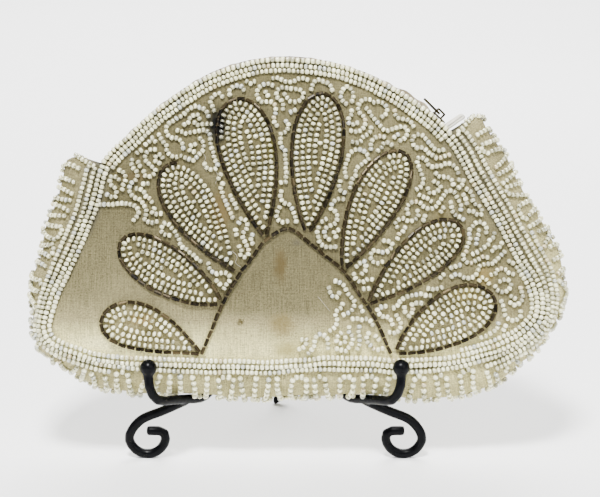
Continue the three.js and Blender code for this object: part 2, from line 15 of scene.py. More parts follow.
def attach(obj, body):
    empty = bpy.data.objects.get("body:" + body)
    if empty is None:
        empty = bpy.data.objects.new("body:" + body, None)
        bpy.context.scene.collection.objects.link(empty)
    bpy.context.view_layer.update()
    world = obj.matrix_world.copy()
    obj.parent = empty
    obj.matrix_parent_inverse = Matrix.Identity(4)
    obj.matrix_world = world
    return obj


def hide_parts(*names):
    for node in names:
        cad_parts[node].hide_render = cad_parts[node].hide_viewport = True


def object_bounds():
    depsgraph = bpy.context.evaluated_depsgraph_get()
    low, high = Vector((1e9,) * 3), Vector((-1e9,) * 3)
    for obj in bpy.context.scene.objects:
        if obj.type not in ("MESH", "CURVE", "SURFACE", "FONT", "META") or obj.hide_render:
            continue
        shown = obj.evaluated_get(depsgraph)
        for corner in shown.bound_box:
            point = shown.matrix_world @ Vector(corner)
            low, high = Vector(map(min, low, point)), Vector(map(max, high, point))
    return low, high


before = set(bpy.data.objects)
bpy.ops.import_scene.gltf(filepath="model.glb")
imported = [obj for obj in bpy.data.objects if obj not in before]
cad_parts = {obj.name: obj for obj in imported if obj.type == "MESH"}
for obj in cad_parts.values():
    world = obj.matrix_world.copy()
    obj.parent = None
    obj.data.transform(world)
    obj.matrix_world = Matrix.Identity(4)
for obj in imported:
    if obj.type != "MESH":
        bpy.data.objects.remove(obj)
cad_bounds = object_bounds()

# Sizes in millimetres
MM = 0.001
SEAM_WIDTH = 201
SEAM_HEIGHT = 125.4
GUSSET_WIDTH = 34
CLOTH = 1.2
FRONT_PUFF = 16.5
BACK_PUFF = 13
PUFF_UP = 50
BACK_RISE = 2
EAR_ROUND = 6
ZIP_HALF = 6
GAP = 0.3
WALL = 1.6
LEAN = math.radians(16)
HOOK_HALF = 50.2
HOOK_REACH = 16.5
STAND_OFFSET = -8.8
ARM_SPLAY = 0.83
DENT = 1.2
DENT_HALF = 7.5
DENT_FADE = 12

# Beads
BEAD_RADIUS = 1.04
BEAD_PITCH = 1.84
BUGLE_RADIUS = 0.73
BUGLE_PITCH = 3.75
BUGLE_LENGTH = 3.25
BUGLE_LIFT = BUGLE_RADIUS + 0.05

# Beads inside a petal: from its outline to the first round, between rounds, along them, and the least apart
FIRST_ROUND = 2.05
ROUND_GAP = 2.42
ROUND_PITCH = 2.24
LEAST_APART = 2.0

# Room that the curling strings leave: to the seam with its rows, and to a bugle line
CLEAR_OF_SEAM = 4.9
CLEAR_OF_BUGLES = 2.05

# Room between a bead's middle and the easel's wires
CLEAR_OF_WIRES = 1.12

# Zip
SLIDER_FROM_END = 7.4
TAB_FROM_END = 2.6
TAB_WIDTH = 8
TAB_HEIGHT = 9.5
TAB_LEAN = math.radians(11)
TAB_HALF = 1.08
TAB_WALL = 1.0
TAPE_FROM_END = 4.4
TAPE_WALL = 0.7
TOOTH_PITCH = 1.5

# Camera, from the lower seam's middle
CAMERA_PLACE = (1.2, -620.99, 204.58)
CAMERA_DOWN = math.radians(14)
CAMERA_LENS = 96

# The seam from the zip's left end clockwise: across is a share of SEAM_WIDTH, up of SEAM_HEIGHT
SEAM_SHAPE = [
    (-0.395, 0.654), (-0.336, 0.758), (-0.256, 0.868), (-0.154, 0.962), (-0.040, 1.000), (0.075, 0.981),
    (0.187, 0.911), (0.311, 0.759), (0.371, 0.604), (0.441, 0.409), (0.491, 0.247), (0.489, 0.155),
    (0.453, 0.092), (0.373, 0.034), (0.259, 0.000), (0.030, 0.000), (-0.224, 0.000), (-0.393, 0.022),
    (-0.483, 0.068), (-0.508, 0.116), (-0.500, 0.199), (-0.458, 0.367), (-0.423, 0.502),
]
ZIP_END_ROW = 7
SPAN_STEPS = 40

# How far the gusset stands open, as a share of half its width, from the right ear round to the left
GUSSET_OPENING = [
    (0.000, 0.353), (0.030, 0.400), (0.100, 0.460), (0.170, 0.460), (0.200, 0.660), (0.240, 0.840),
    (0.270, 0.770), (0.310, 0.520), (0.360, 0.470), (0.420, 0.565), (0.550, 0.575), (0.670, 0.565),
    (0.720, 0.630), (0.765, 0.820), (0.820, 0.850), (0.870, 0.620), (0.930, 0.380), (0.960, 0.353),
    (1.000, 0.353),
]

# Petals: tip across and up, axis in degrees, length, width, point, bow, and how much of the outline is left
PETALS = [
    (-0.189, 0.045, 160.0, 0.338, 0.144, 1.2, -0.016, 1),
    (-0.149, 0.207, 148.7, 0.380, 0.150, 0.6, 0.004, 1),
    (-0.117, 0.303, 123.6, 0.415, 0.163, 1.0, 0, 0.56),
    (-0.063, 0.411, 102.1, 0.463, 0.179, 1.0, -0.004, 1),
    (0.020, 0.424, 83.4, 0.461, 0.163, 0.8, 0, 1),
    (0.090, 0.313, 62.5, 0.426, 0.152, 0.8, 0.008, 1),
    (0.139, 0.204, 40.2, 0.392, 0.146, 1.0, 0.004, 1),
    (0.195, 0.049, 29.7, 0.360, 0.167, 0.8, 0.008, 1),
]
PETAL_START = 0.3

# The fan's lower edge over its peak, as shares of the seam's width and height
FAN_EDGE = [
    (-0.191, 0.043), (-0.169, 0.124), (-0.154, 0.184), (-0.135, 0.244), (-0.113, 0.303), (-0.090, 0.348),
    (-0.063, 0.405), (-0.016, 0.446), (0.009, 0.419), (0.050, 0.365), (0.088, 0.317), (0.125, 0.233),
    (0.155, 0.160), (0.187, 0.045),
]

# Places on the front, in millimetres: the bare cloth at the lower left and the strings under the fan
BARE_LEFT = [
    (-97, 65), (-74, 64.5), (-64, 62), (-58, 57), (-52, 52), (-39, 42), (-30, 27), (-36, 4), (-97, 4),
]
UNDER_FAN = [
    (14, 37), (20, 35), (31, 20), (39, 3), (-1, 3), (2, 12), (8, 15), (13, 15), (12, 21), (17, 25), (12, 31),
]
EDGE_STRING = [(-79.5, 65.8), (-74.3, 65.8), (-69.5, 66.2), (-64.4, 64.6), (-63.4, 61.8), (-65.4, 59.2)]
PEAK_STRING = [(15.2, 34.8), (18.2, 33.6), (20.4, 29.6), (22.9, 26.6), (21.6, 22.9), (18.6, 21.4)]
ARCH_STRING = [(4.6, 6.3), (6.8, 8.9), (7.4, 12.4), (9.6, 13.9), (11.9, 12.4), (12.4, 8.4)]


# Curves and faces


def catmull(rows, closed, steps=SPAN_STEPS):
    """A smooth line through the rows."""
    points = np.asarray(rows, float)
    count = len(points)
    stretches = []
    for i in range(count if closed else count - 1):
        p1 = points[i]
        p2 = points[(i + 1) % count]
        p0 = points[i - 1] if closed or i else 2 * p1 - p2
        p3 = points[(i + 2) % count] if closed or i + 2 < count else 2 * p2 - p1
        d0, d1, d2 = (max(np.linalg.norm(b - a), 1e-6) ** 0.5 for a, b in ((p0, p1), (p1, p2), (p2, p3)))
        m1 = ((p1 - p0) / d0 - (p2 - p0) / (d0 + d1) + (p2 - p1) / d1) * d1
        m2 = ((p2 - p1) / d1 - (p3 - p1) / (d1 + d2) + (p3 - p2) / d2) * d1
        t = np.arange(steps)[:, None] / steps
        blend = (2 * t ** 3 - 3 * t ** 2 + 1) * p1 + (t ** 3 - 2 * t ** 2 + t) * m1
        stretches.append(blend + (3 * t ** 2 - 2 * t ** 3) * p2 + (t ** 3 - t ** 2) * m2)
    stretches.append(points[:1] if closed else points[-1:])
    return np.vstack(stretches)


class Line:
    """A polyline that can be read at any distance along it."""

    def __init__(self, points):
        self.points = np.asarray(points, float)
        steps = np.linalg.norm(np.diff(self.points, axis=0), axis=1)
        self.run = np.r_[0, np.cumsum(steps)]
        self.length = self.run[-1]

    def at(self, distance):
        return np.stack([np.interp(distance, self.run, column) for column in self.points.T], -1)


def unit(vectors):
    return vectors / np.maximum(np.linalg.norm(vectors, axis=-1, keepdims=True), 1e-9)


def smoothstep(value, low, high):
    share = np.clip((value - low) / (high - low), 0, 1)
    return share * share * (3 - 2 * share)


seam = catmull([(across * SEAM_WIDTH, up * SEAM_HEIGHT) for across, up in SEAM_SHAPE], True)
zip_line = Line(seam[: ZIP_END_ROW * SPAN_STEPS + 1])
gusset_line = Line(seam[ZIP_END_ROW * SPAN_STEPS:])


def opening(share):
    """Half the distance between the two seams, along the gusset."""
    share = np.atleast_1d(share)
    places, opens = np.array(GUSSET_OPENING).T
    row = np.clip(np.searchsorted(places, share, side="right") - 1, 0, len(places) - 2)
    mix = smoothstep((share - places[row]) / (places[row + 1] - places[row]), 0, 1)
    return (opens[row] + (opens[row + 1] - opens[row]) * mix) * GUSSET_WIDTH / 2


def strip_frame(line, distance, half):
    """The middle of a strip between the two seams, and the ways along, across and out."""
    here = line.at(distance)
    ahead = line.at(np.minimum(distance + 1, line.length)) - line.at(np.maximum(distance - 1, 0))
    zero = np.zeros(len(here))
    along = unit(np.stack([ahead[:, 0], zero, ahead[:, 1]], -1))
    rise = here[:, 1] * BACK_RISE / SEAM_HEIGHT
    middle = np.stack([here[:, 0], zero, here[:, 1] + rise / 2], -1)
    across = unit(np.stack([zero, 2 * half, rise], -1))
    return middle, along, across, np.cross(along, across)


def pucker(a, b, waves, seed):
    """A shallow unevenness of the cloth: waves of (length, height), in random directions."""
    rng = random.Random(seed)
    total = 0
    for length, height in waves:
        turn = rng.uniform(0, math.pi)
        total = total + height * np.sin(
            2 * math.pi * (a * math.cos(turn) + b * math.sin(turn)) / length + rng.uniform(0, 6.28)
        )
    return total


CLOTH_WAVES = [(38, 0.3), (27, 0.22), (19, 0.12), (13, 0.09), (9, 0.06), (7, 0.04)]
GUSSET_WAVES = [(23, 0.3), (14, 0.3), (10, 0.2), (8, 0.12)]

# Soft creases in the bare cloth: from, to, half width, height
CREASES = [
    ((-88, 50), (-78, 22), 2.6, 0.35),
    ((-84, 34), (-62, 40), 2.2, 0.3),
    ((-92, 14), (-40, 6.5), 2.0, 0.3),
    ((-22, 20), (-4, 48), 3.2, -0.3),
    ((0, 12), (6, 40), 3.6, 0.3),
    ((-30, 9), (-4, 14), 2.4, 0.35),
    ((-72, 44), (-52, 30), 2.0, -0.25),
]


def creases(x, z):
    total = 0
    for (x0, z0), (x1, z1), width, height in CREASES:
        span = (x1 - x0) ** 2 + (z1 - z0) ** 2
        share = np.clip(((x - x0) * (x1 - x0) + (z - z0) * (z1 - z0)) / span, 0, 1)
        away = (x - x0 - share * (x1 - x0)) ** 2 + (z - z0 - share * (z1 - z0)) ** 2
        total = total + height * np.exp(-away / width ** 2)
    return total


def gusset_face(s, w):
    """Points of the gusset: s along it from the right ear, w across it from the front seam, -17 to 17."""
    half = opening(s / gusset_line.length)
    middle, _, across, out = strip_frame(gusset_line, s, half)
    bulge = np.sqrt(2 * (GUSSET_WIDTH / math.pi) ** 2 - half ** 2)
    from_end = np.clip(np.minimum(s, gusset_line.length - s) / EAR_ROUND, 0, 1)
    ear = np.sqrt(1 - (1 - from_end) ** 2)
    full = np.minimum(np.maximum(GAP, bulge * ear + WALL), bulge)
    angle = w * math.pi / GUSSET_WIDTH
    point = middle + across * (half * np.sin(angle))[:, None]
    arm = HOOK_HALF - ARM_SPLAY * (point[:, 1] + HOOK_REACH)
    offset = np.abs(np.abs(point[:, 0] - STAND_OFFSET) - arm)
    under = out[:, 2] < -0.9
    dent = np.where(under, DENT * (1 - smoothstep(offset, DENT_HALF, DENT_HALF + DENT_FADE)), 0)
    uneven = pucker(s, w, GUSSET_WAVES, 3) * np.where(dent > 0, 0, 1) * from_end
    return point + out * ((full - dent + uneven) * np.cos(angle))[:, None]


around = np.arctan2(seam[:-1, 1] - PUFF_UP, seam[:-1, 0])
order = np.argsort(around)
gusset_share = (gusset_line.run[:-1]) / gusset_line.length
seam_half = np.r_[np.full(ZIP_END_ROW * SPAN_STEPS, ZIP_HALF), opening(gusset_share)]
seam_turn = around[order]
seam_reach = np.hypot(seam[:-1, 0], seam[:-1, 1] - PUFF_UP)[order]
seam_open = seam_half[order]


def ring_of(x, z):
    """How far out towards the seam a place on a panel is, 0 to 1, and how far apart the seams are there."""
    turn = np.arctan2(z - PUFF_UP, x)
    reach = np.interp(turn, seam_turn, seam_reach, period=2 * math.pi)
    half = np.interp(turn, seam_turn, seam_open, period=2 * math.pi)
    return np.minimum(1, np.hypot(x, z - PUFF_UP) / reach), half


def front_face(x, z):
    ring, half = ring_of(x, z)
    relief = (pucker(x, z, CLOTH_WAVES, 1) + creases(x, z)) * (1 - ring ** 6)
    depth = half * ring ** 2 + FRONT_PUFF * (1 - ring ** 2) + relief
    return np.stack([x, -depth, z], -1)


def back_face(x, z):
    ring, half = ring_of(x, z)
    relief = pucker(x, z, CLOTH_WAVES, 2) * (1 - ring ** 6) - 0.25
    depth = half * ring ** 2 + BACK_PUFF * (1 - ring ** 2) + relief
    return np.stack([x, depth, z * (1 + BACK_RISE / SEAM_HEIGHT)], -1)


# The part's frame. The front panel's foremost corner is its middle, so it says where the purse sits.
lean = Matrix.Rotation(-LEAN, 3, "X")
forward = lean @ Vector((0, -1, 0))
panel_corners = [vertex.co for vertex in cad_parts["front_panel"].data.vertices]
panel_middle = max(panel_corners, key=lambda corner: corner.dot(forward))
seat = panel_middle - lean @ Vector((0, -FRONT_PUFF, PUFF_UP)) * MM
turn_matrix = np.array(lean)


def to_part(points):
    """From the purse's frame in millimetres to the part's in metres."""
    return np.asarray(points, float) @ turn_matrix.T * MM + np.array(seat)


# Mesh helpers


def mesh_object(name, points, faces, smooth=True):
    mesh = bpy.data.meshes.new(name)
    mesh.from_pydata([tuple(p) for p in points], [], faces)
    mesh.polygons.foreach_set("use_smooth", [smooth] * len(mesh.polygons))
    mesh.update()
    piece = bpy.data.objects.new(name, mesh)
    bpy.context.scene.collection.objects.link(piece)
    return piece


def note(piece, name, values, kind="FLOAT_VECTOR"):
    """Writes one value a corner point into an attribute that a material or a tree reads."""
    attribute = piece.data.attributes.new(name, kind, "POINT")
    key = "vector" if kind == "FLOAT_VECTOR" else "value"
    attribute.data.foreach_set(key, np.asarray(values, np.float32).ravel())


def settled(piece):
    """The piece with its modifiers turned into plain mesh."""
    depsgraph = bpy.context.evaluated_depsgraph_get()
    depsgraph.update()
    mesh = bpy.data.meshes.new_from_object(piece.evaluated_get(depsgraph), depsgraph=depsgraph)
    piece.modifiers.clear()
    old = piece.data
    piece.data = mesh
    bpy.data.meshes.remove(old)
    mesh.name = piece.name
    return piece


def thicken(piece, thickness):
    """Gives a face its wall, inwards."""
    wall = piece.modifiers.new("wall", "SOLIDIFY")
    wall.thickness = thickness * MM
    wall.offset = -1
    wall.use_even_offset = False
    return settled(piece)


def finish(piece, material, body="purse", replaces=()):
    piece.data.materials.clear()
    piece.data.materials.append(material)
    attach(piece, body)
    if replaces:
        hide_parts(*replaces)
    return piece


def facing_out(piece):
    work = bmesh.new()
    work.from_mesh(piece.data)
    bmesh.ops.recalc_face_normals(work, faces=work.faces)
    work.to_mesh(piece.data)
    work.free()
    return piece


def grid_faces(rows, columns, wrap=False):
    faces = []
    for i in range(rows - 1):
        for j in range(columns if wrap else columns - 1):
            k = (j + 1) % columns
            faces.append((i * columns + j, i * columns + k, (i + 1) * columns + k, (i + 1) * columns + j))
    return faces


# Materials


def shader(name, **values):
    material = bpy.data.materials.new(name)
    material.use_nodes = True
    principled = material.node_tree.nodes["Principled BSDF"]
    for socket, value in values.items():
        principled.inputs[socket.replace("_", " ")].default_value = value
    return material, material.node_tree, principled


def add(tree, kind, links=None, **settings):
    """One node: settings name its properties or, as in_NAME, its inputs' values; links name its sources."""
    new = tree.nodes.new(kind)
    for key, value in settings.items():
        if key.startswith("in_"):
            new.inputs[int(key[3:]) if key[3:].isdigit() else key[3:].replace("_", " ")].default_value = value
        else:
            setattr(new, key, value)
    for key, source in (links or {}).items():
        tree.links.new(source, new.inputs[key])
    return new


def mixed(tree, factor, first, second, blend="MIX"):
    """A colour between two others. Each is a socket or a plain colour."""
    mix = tree.nodes.new("ShaderNodeMix")
    mix.data_type = "RGBA"
    mix.blend_type = blend
    for index, value in ((0, factor), (6, first), (7, second)):
        if isinstance(value, bpy.types.NodeSocket):
            tree.links.new(value, mix.inputs[index])
        else:
            mix.inputs[index].default_value = value
    return mix.outputs[2]


def ramp(tree, source, stops):
    new = add(tree, "ShaderNodeValToRGB", {0: source})
    elements = new.color_ramp.elements
    while len(elements) < len(stops):
        elements.new(0.5)
    for element, (place, colour) in zip(elements, stops):
        element.position = place
        element.color = colour if len(colour) == 4 else (*colour, 1)
    return new


def grey(value):
    return (value, value, value, 1)


def noise(tree, place, scale, detail=3, rough=0.55, stretch=None):
    if stretch:
        place = add(tree, "ShaderNodeMapping", {0: place}, in_Scale=stretch).outputs[0]
    links = {"Vector": place}
    return add(tree, "ShaderNodeTexNoise", links, in_Scale=scale, in_Detail=detail, in_Roughness=rough)


def ribs(tree, place, direction, scale, distortion):
    """The threads of a weave that lie side by side in one direction."""
    waves = add(tree, "ShaderNodeTexWave", {"Vector": place}, bands_direction=direction, in_Scale=scale)
    waves.inputs["Distortion"].default_value = distortion
    return waves


def spot(tree, place, centre, size, edge=0.6):
    """A soft ragged patch round a place: 1 in its middle, 0 outside."""
    ragged = noise(tree, place, 0.35, 4, 0.65)
    shake = add(tree, "ShaderNodeVectorMath", {0: ragged.outputs["Color"]}, operation="MULTIPLY_ADD")
    shake.inputs[1].default_value = (5, 5, 0)
    shake.inputs[2].default_value = (-2.5 - centre[0], -2.5 - centre[1], 0)
    moved = add(tree, "ShaderNodeVectorMath", {0: place, 1: shake.outputs[0]}, operation="ADD")
    scaled = add(tree, "ShaderNodeVectorMath", {0: moved.outputs[0]}, operation="DIVIDE")
    scaled.inputs[1].default_value = (size[0], size[1], 1)
    away = add(tree, "ShaderNodeVectorMath", {0: scaled.outputs[0]}, operation="LENGTH")
    fade = add(tree, "ShaderNodeMapRange", {0: away.outputs["Value"]}, interpolation_type="SMOOTHSTEP")
    for index, value in ((1, edge * 0.4), (2, 1.15), (3, 1), (4, 0)):
        fade.inputs[index].default_value = value
    return fade.outputs[0]


# Stains on the front: place, size, colour, strength
STAINS = [
    ((-32, 97.5), (5.6, 9.5), (0.003, 0.003, 0.003), 1),
    ((-30.5, 63), (4.8, 10), (0.14, 0.098, 0.036), 0.75),
    ((-10.2, 88), (2.2, 5.5), (0.09, 0.08, 0.015), 0.85),
    ((-6.6, 41), (3.2, 8), (0.08, 0.055, 0.018), 0.8),
    ((-6.2, 17), (6.5, 6), (0.17, 0.125, 0.04), 0.65),
    ((-4, 7.5), (6.5, 4), (0.32, 0.27, 0.09), 0.75),
    ((-22.4, 18.5), (1.3, 1.2), (0.06, 0.045, 0.015), 0.95),
    ((75, 37), (5, 5), (0.24, 0.17, 0.05), 0.6),
    ((67, 29), (7, 4), (0.30, 0.24, 0.09), 0.5),
    ((-62, 19.5), (6, 3), (0.34, 0.22, 0.08), 0.5),
    ((-19, 118), (12, 3), (0.13, 0.115, 0.05), 0.5),
    ((-48, 82), (5, 6), (0.13, 0.11, 0.05), 0.5),
    ((-66, 77), (9, 2.5), (0.10, 0.07, 0.03), 0.6),
    ((-88, 80), (5, 5), (0.12, 0.09, 0.04), 0.5),
    ((58, 60), (5, 6), (0.17, 0.135, 0.05), 0.45),
]


def with_stains(tree, place, colour, on_beads=False):
    """Stains on cloth turn it to their colour; on beads they only tint the glass."""
    for centre, size, tint, share in STAINS:
        patch = spot(tree, place, centre, size)
        strength = add(tree, "ShaderNodeMath", {0: patch}, operation="MULTIPLY")
        strength.inputs[1].default_value = share * (0.5 if on_beads and share < 1 else 1)
        if on_beads:
            tint = tuple(min(1, 5 * channel) for channel in tint)
        colour = mixed(tree, strength.outputs[0], colour, (*tint, 1), "MULTIPLY" if on_beads else "MIX")
    return colour


def varied(tree, colour, sources):
    """The colour made lighter and darker by several patterns, each with its own strength."""
    total = None
    for source, strength in sources:
        step = add(tree, "ShaderNodeMath", {0: source}, operation="MULTIPLY_ADD")
        step.inputs[1].default_value = strength
        step.inputs[2].default_value = (1 if total is None else 0) - strength / 2
        if total is not None:
            step = add(tree, "ShaderNodeMath", {0: step.outputs[0], 1: total}, operation="ADD")
        total = step.outputs[0]
    return add(tree, "ShaderNodeVectorMath", {0: colour, "Scale": total}, operation="SCALE").outputs[0]


# How pale the cloth is. On the panels by height in millimetres, left and middle; on the gusset by its share
PALE_LEFT = [
    (0, 0.95), (10, 0.88), (14, 0.57), (19, 0.285), (28, 0.18), (38, 0.147), (62, 0.112), (80, 0.112),
    (125, 0.11),
]
PALE_MIDDLE = [
    (0, 0.72), (8, 0.64), (13, 0.46), (18, 0.285), (23, 0.158), (33, 0.126), (46, 0.116), (80, 0.12),
    (125, 0.118),
]
PALE_GUSSET = [
    (0, 0.24), (0.1, 0.31), (0.2, 0.46), (0.3, 0.52), (0.5, 0.43), (0.7, 0.43), (0.8, 0.34), (0.9, 0.24),
    (1, 0.2),
]

# How much of the paleness is left inside each petal: the cloth between the close-set beads is darkened,
# partly soil and partly painted shade
PETAL_SHADES = [0.9, 0.78, 0.78, 0.82, 0.82, 0.76, 0.76, 0.78]


def pale_by(table, value):
    places, tones = np.array(table).T
    return np.interp(value, places, tones)


def panel_pale(flat):
    x, z = flat.T
    middle = smoothstep(x, -50, -25)
    tone = pale_by(PALE_LEFT, z) * (1 - middle) + pale_by(PALE_MIDDLE, z) * middle
    # Inside the petals the cloth is darker: partly soil, partly painted shade between the beads.
    for shape, shade in zip(petal_shapes, PETAL_SHADES):
        tone = np.where(inside(shape, flat), np.minimum(tone * shade, 0.24), tone)
    right = smoothstep(x, 4, 30) * smoothstep(z, 12, 26)
    return tone * (1 + 0.32 * right)


def satin():
    """Aged ivory satin. The weave follows the cloth through its own lengths in millimetres. Its colour also
    carries soil and painted shade near the seams and inside the petals.
    """
    material, tree, principled = shader("aged ivory satin", Roughness=0.75, Specular_IOR_Level=0.15)
    place = add(tree, "ShaderNodeAttribute", attribute_name="weave").outputs["Vector"]
    grime = add(tree, "ShaderNodeAttribute", attribute_name="grime").outputs["Fac"]
    pale = add(tree, "ShaderNodeAttribute", attribute_name="pale").outputs["Fac"]
    stained = add(tree, "ShaderNodeAttribute", attribute_name="stained").outputs["Fac"]
    tone = ramp(tree, pale, [
        (0.0, (0, 0, 0)), (0.1, (0.1, 0.0865, 0.041)), (0.3, (0.3, 0.264, 0.13)), (0.6, (0.6, 0.545, 0.25)),
        (1.0, (1, 0.93, 0.46)),
    ])
    broad = noise(tree, place, 0.045, 3, 0.6).outputs["Fac"]
    weft = noise(tree, place, 1.0, 2, 0.6, (0.16, 2.6, 1)).outputs["Fac"]
    warp = noise(tree, place, 1.0, 2, 0.6, (2.6, 0.10, 1)).outputs["Fac"]
    grain = noise(tree, place, 1.4, 3, 0.8).outputs["Fac"]
    colour = varied(tree, tone.outputs[0], [(broad, 0.7), (weft, 0.8), (warp, 1.3), (grain, 2.4)])
    specks = noise(tree, place, 0.8, 3, 0.6)
    speck_mask = ramp(tree, specks.outputs["Fac"], [(0.64, grey(0)), (0.72, grey(0.75))])
    colour = mixed(tree, speck_mask.outputs[0], colour, (0.06, 0.042, 0.018, 1))
    clean = colour
    colour = mixed(tree, stained, clean, with_stains(tree, place, clean))
    # Soil and painted shade: the cloth turns dark brown-grey where the rows of beads crowd the seam.
    colour = mixed(tree, grime, colour, (0.06, 0.056, 0.043, 1))
    tree.links.new(colour, principled.inputs["Base Color"])
    fine = ribs(tree, place, "X", 1.1, 0.6)
    cross = ribs(tree, place, "Y", 1.3, 0.6)
    height = add(tree, "ShaderNodeMath", {0: fine.outputs["Fac"], 1: cross.outputs["Fac"]}, operation="ADD")
    slub = add(tree, "ShaderNodeMath", {0: warp, 1: grain}, operation="ADD")
    total = add(tree, "ShaderNodeMath", {0: height.outputs[0], 1: slub.outputs[0]}, operation="ADD")
    bump = add(tree, "ShaderNodeBump", {"Height": total.outputs[0]}, in_Strength=0.7, in_Distance=0.00014)
    tree.links.new(bump.outputs[0], principled.inputs["Normal"])
    return material


def seed_glass():
    """Opaque chalk-white glass beads. Each bead has one tone; a few are cream or orange."""
    material, tree, principled = shader(
        "white seed bead", Roughness=0.2, Specular_IOR_Level=1.0, Coat_Weight=1.0, Coat_Roughness=0.1,
    )
    tone = add(tree, "ShaderNodeAttribute", attribute_name="tone").outputs["Fac"]
    place = add(tree, "ShaderNodeAttribute", attribute_name="spot").outputs["Vector"]
    colour = ramp(tree, tone, [
        (0.0, (0.17, 0.165, 0.10)),
        (0.3, (0.35, 0.337, 0.20)),
        (0.55, (0.52, 0.503, 0.31)),
        (0.75, (0.74, 0.72, 0.44)),
        (0.88, (0.95, 0.93, 0.60)),
        (0.94, (0.48, 0.50, 0.42)),
        (1.0, (0.56, 0.48, 0.26)),
    ]).outputs[0]
    colour = with_stains(tree, place, colour, True)
    dust = noise(tree, add(tree, "ShaderNodeTexCoord").outputs["Object"], 900, 2, 0.6)
    dusty = ramp(tree, dust.outputs["Fac"], [(0.45, grey(0)), (0.8, grey(0.6))])
    colour = mixed(tree, dusty.outputs[0], colour, (0.26, 0.245, 0.17, 1))
    tree.links.new(colour, principled.inputs["Base Color"])
    return material


def bugle_glass():
    """Dark metallic bugle beads: black, brown and bronze."""
    material, tree, principled = shader(
        "dark bugle bead", Metallic=0.5, Roughness=0.27, Specular_IOR_Level=0.12,
    )
    tone = add(tree, "ShaderNodeAttribute", attribute_name="tone").outputs["Fac"]
    cut = add(tree, "ShaderNodeAttribute", attribute_name="cut").outputs["Fac"]
    colour = ramp(tree, tone, [
        (0.0, (0.003, 0.0026, 0.002)),
        (0.35, (0.013, 0.0098, 0.0045)),
        (0.7, (0.032, 0.0235, 0.0105)),
        (1.0, (0.09, 0.068, 0.031)),
    ]).outputs[0]
    worn = noise(tree, add(tree, "ShaderNodeTexCoord").outputs["Object"], 700, 3, 0.6)
    patch = ramp(tree, worn.outputs["Fac"], [(0.52, grey(0)), (0.75, grey(0.5))])
    colour = mixed(tree, patch.outputs[0], colour, (0.09, 0.068, 0.036, 1))
    colour = mixed(tree, cut, colour, (0.22, 0.18, 0.11, 1))
    tree.links.new(colour, principled.inputs["Base Color"])
    return material


def metal(name, low, high, roughness, scale, metallic=1.0, specular=0.5):
    material, tree, principled = shader(name, Metallic=metallic, Specular_IOR_Level=specular)
    place = add(tree, "ShaderNodeTexCoord").outputs["Object"]
    worn = noise(tree, place, scale, 5, 0.6)
    colour = ramp(tree, worn.outputs["Fac"], [(0.35, low), (0.7, high)])
    tree.links.new(colour.outputs[0], principled.inputs["Base Color"])
    rough = add(tree, "ShaderNodeMapRange", {0: worn.outputs["Fac"]})
    rough.inputs[3].default_value = roughness * 0.75
    rough.inputs[4].default_value = roughness * 1.35
    tree.links.new(rough.outputs[0], principled.inputs["Roughness"])
    grain = noise(tree, place, scale * 5, 3, 0.6)
    bump = add(tree, "ShaderNodeBump", {"Height": grain.outputs["Fac"]}, in_Strength=0.12, in_Distance=0.0002)
    tree.links.new(bump.outputs[0], principled.inputs["Normal"])
    return material


def woven_tape(name, dark, light):
    material, tree, principled = shader(name, Roughness=0.85, Specular_IOR_Level=0.2)
    place = add(tree, "ShaderNodeAttribute", attribute_name="weave").outputs["Vector"]
    rib = ribs(tree, place, "X", 0.9, 0.3)
    cross = ribs(tree, place, "Y", 1.2, 0.5)
    soil = noise(tree, place, 0.12, 4, 0.6)
    colour = ramp(tree, soil.outputs["Fac"], [(0.3, dark), (0.7, light)])
    shade = mixed(tree, 0.25, colour.outputs[0], rib.outputs["Color"], "OVERLAY")
    tree.links.new(shade, principled.inputs["Base Color"])
    height = add(tree, "ShaderNodeMath", {0: rib.outputs["Fac"], 1: cross.outputs["Fac"]}, operation="ADD")
    bump = add(tree, "ShaderNodeBump", {"Height": height.outputs[0]}, in_Strength=0.6, in_Distance=0.0001)
    tree.links.new(bump.outputs[0], principled.inputs["Normal"])
    return material


ivory_satin = satin()
white_bead = seed_glass()
dark_bugle = bugle_glass()
soiled_tape = woven_tape("soiled zip tape", (0.13, 0.10, 0.055), (0.36, 0.31, 0.21))
ivory_tape = woven_tape("ivory zip tape", (0.50, 0.46, 0.35), (0.80, 0.77, 0.66))
old_brass = metal("tarnished brass", (0.006, 0.005, 0.003), (0.07, 0.055, 0.026), 0.34, 900)
bright_brass = metal("worn brass teeth", (0.06, 0.048, 0.022), (0.26, 0.20, 0.09), 0.3, 700)
black_paint = metal(
    "satin black paint", (0.001, 0.0011, 0.0015), (0.002, 0.0022, 0.003), 0.28, 260, 0.0, 0.07,
)


def inside(polygon, points):
    """Which points lie inside a flat polygon."""
    polygon = np.asarray(polygon, float)
    points = np.atleast_2d(points)
    result = np.zeros(len(points), bool)
    for (x0, z0), (x1, z1) in zip(polygon, np.roll(polygon, -1, axis=0)):
        crosses = (z0 > points[:, 1]) != (z1 > points[:, 1])
        reach = (x1 - x0) * (points[:, 1] - z0) / (z1 - z0 if z1 != z0 else 1e-9) + x0
        result ^= crosses & (points[:, 0] < reach)
    return result


# Petals and fan in the front's own millimetres


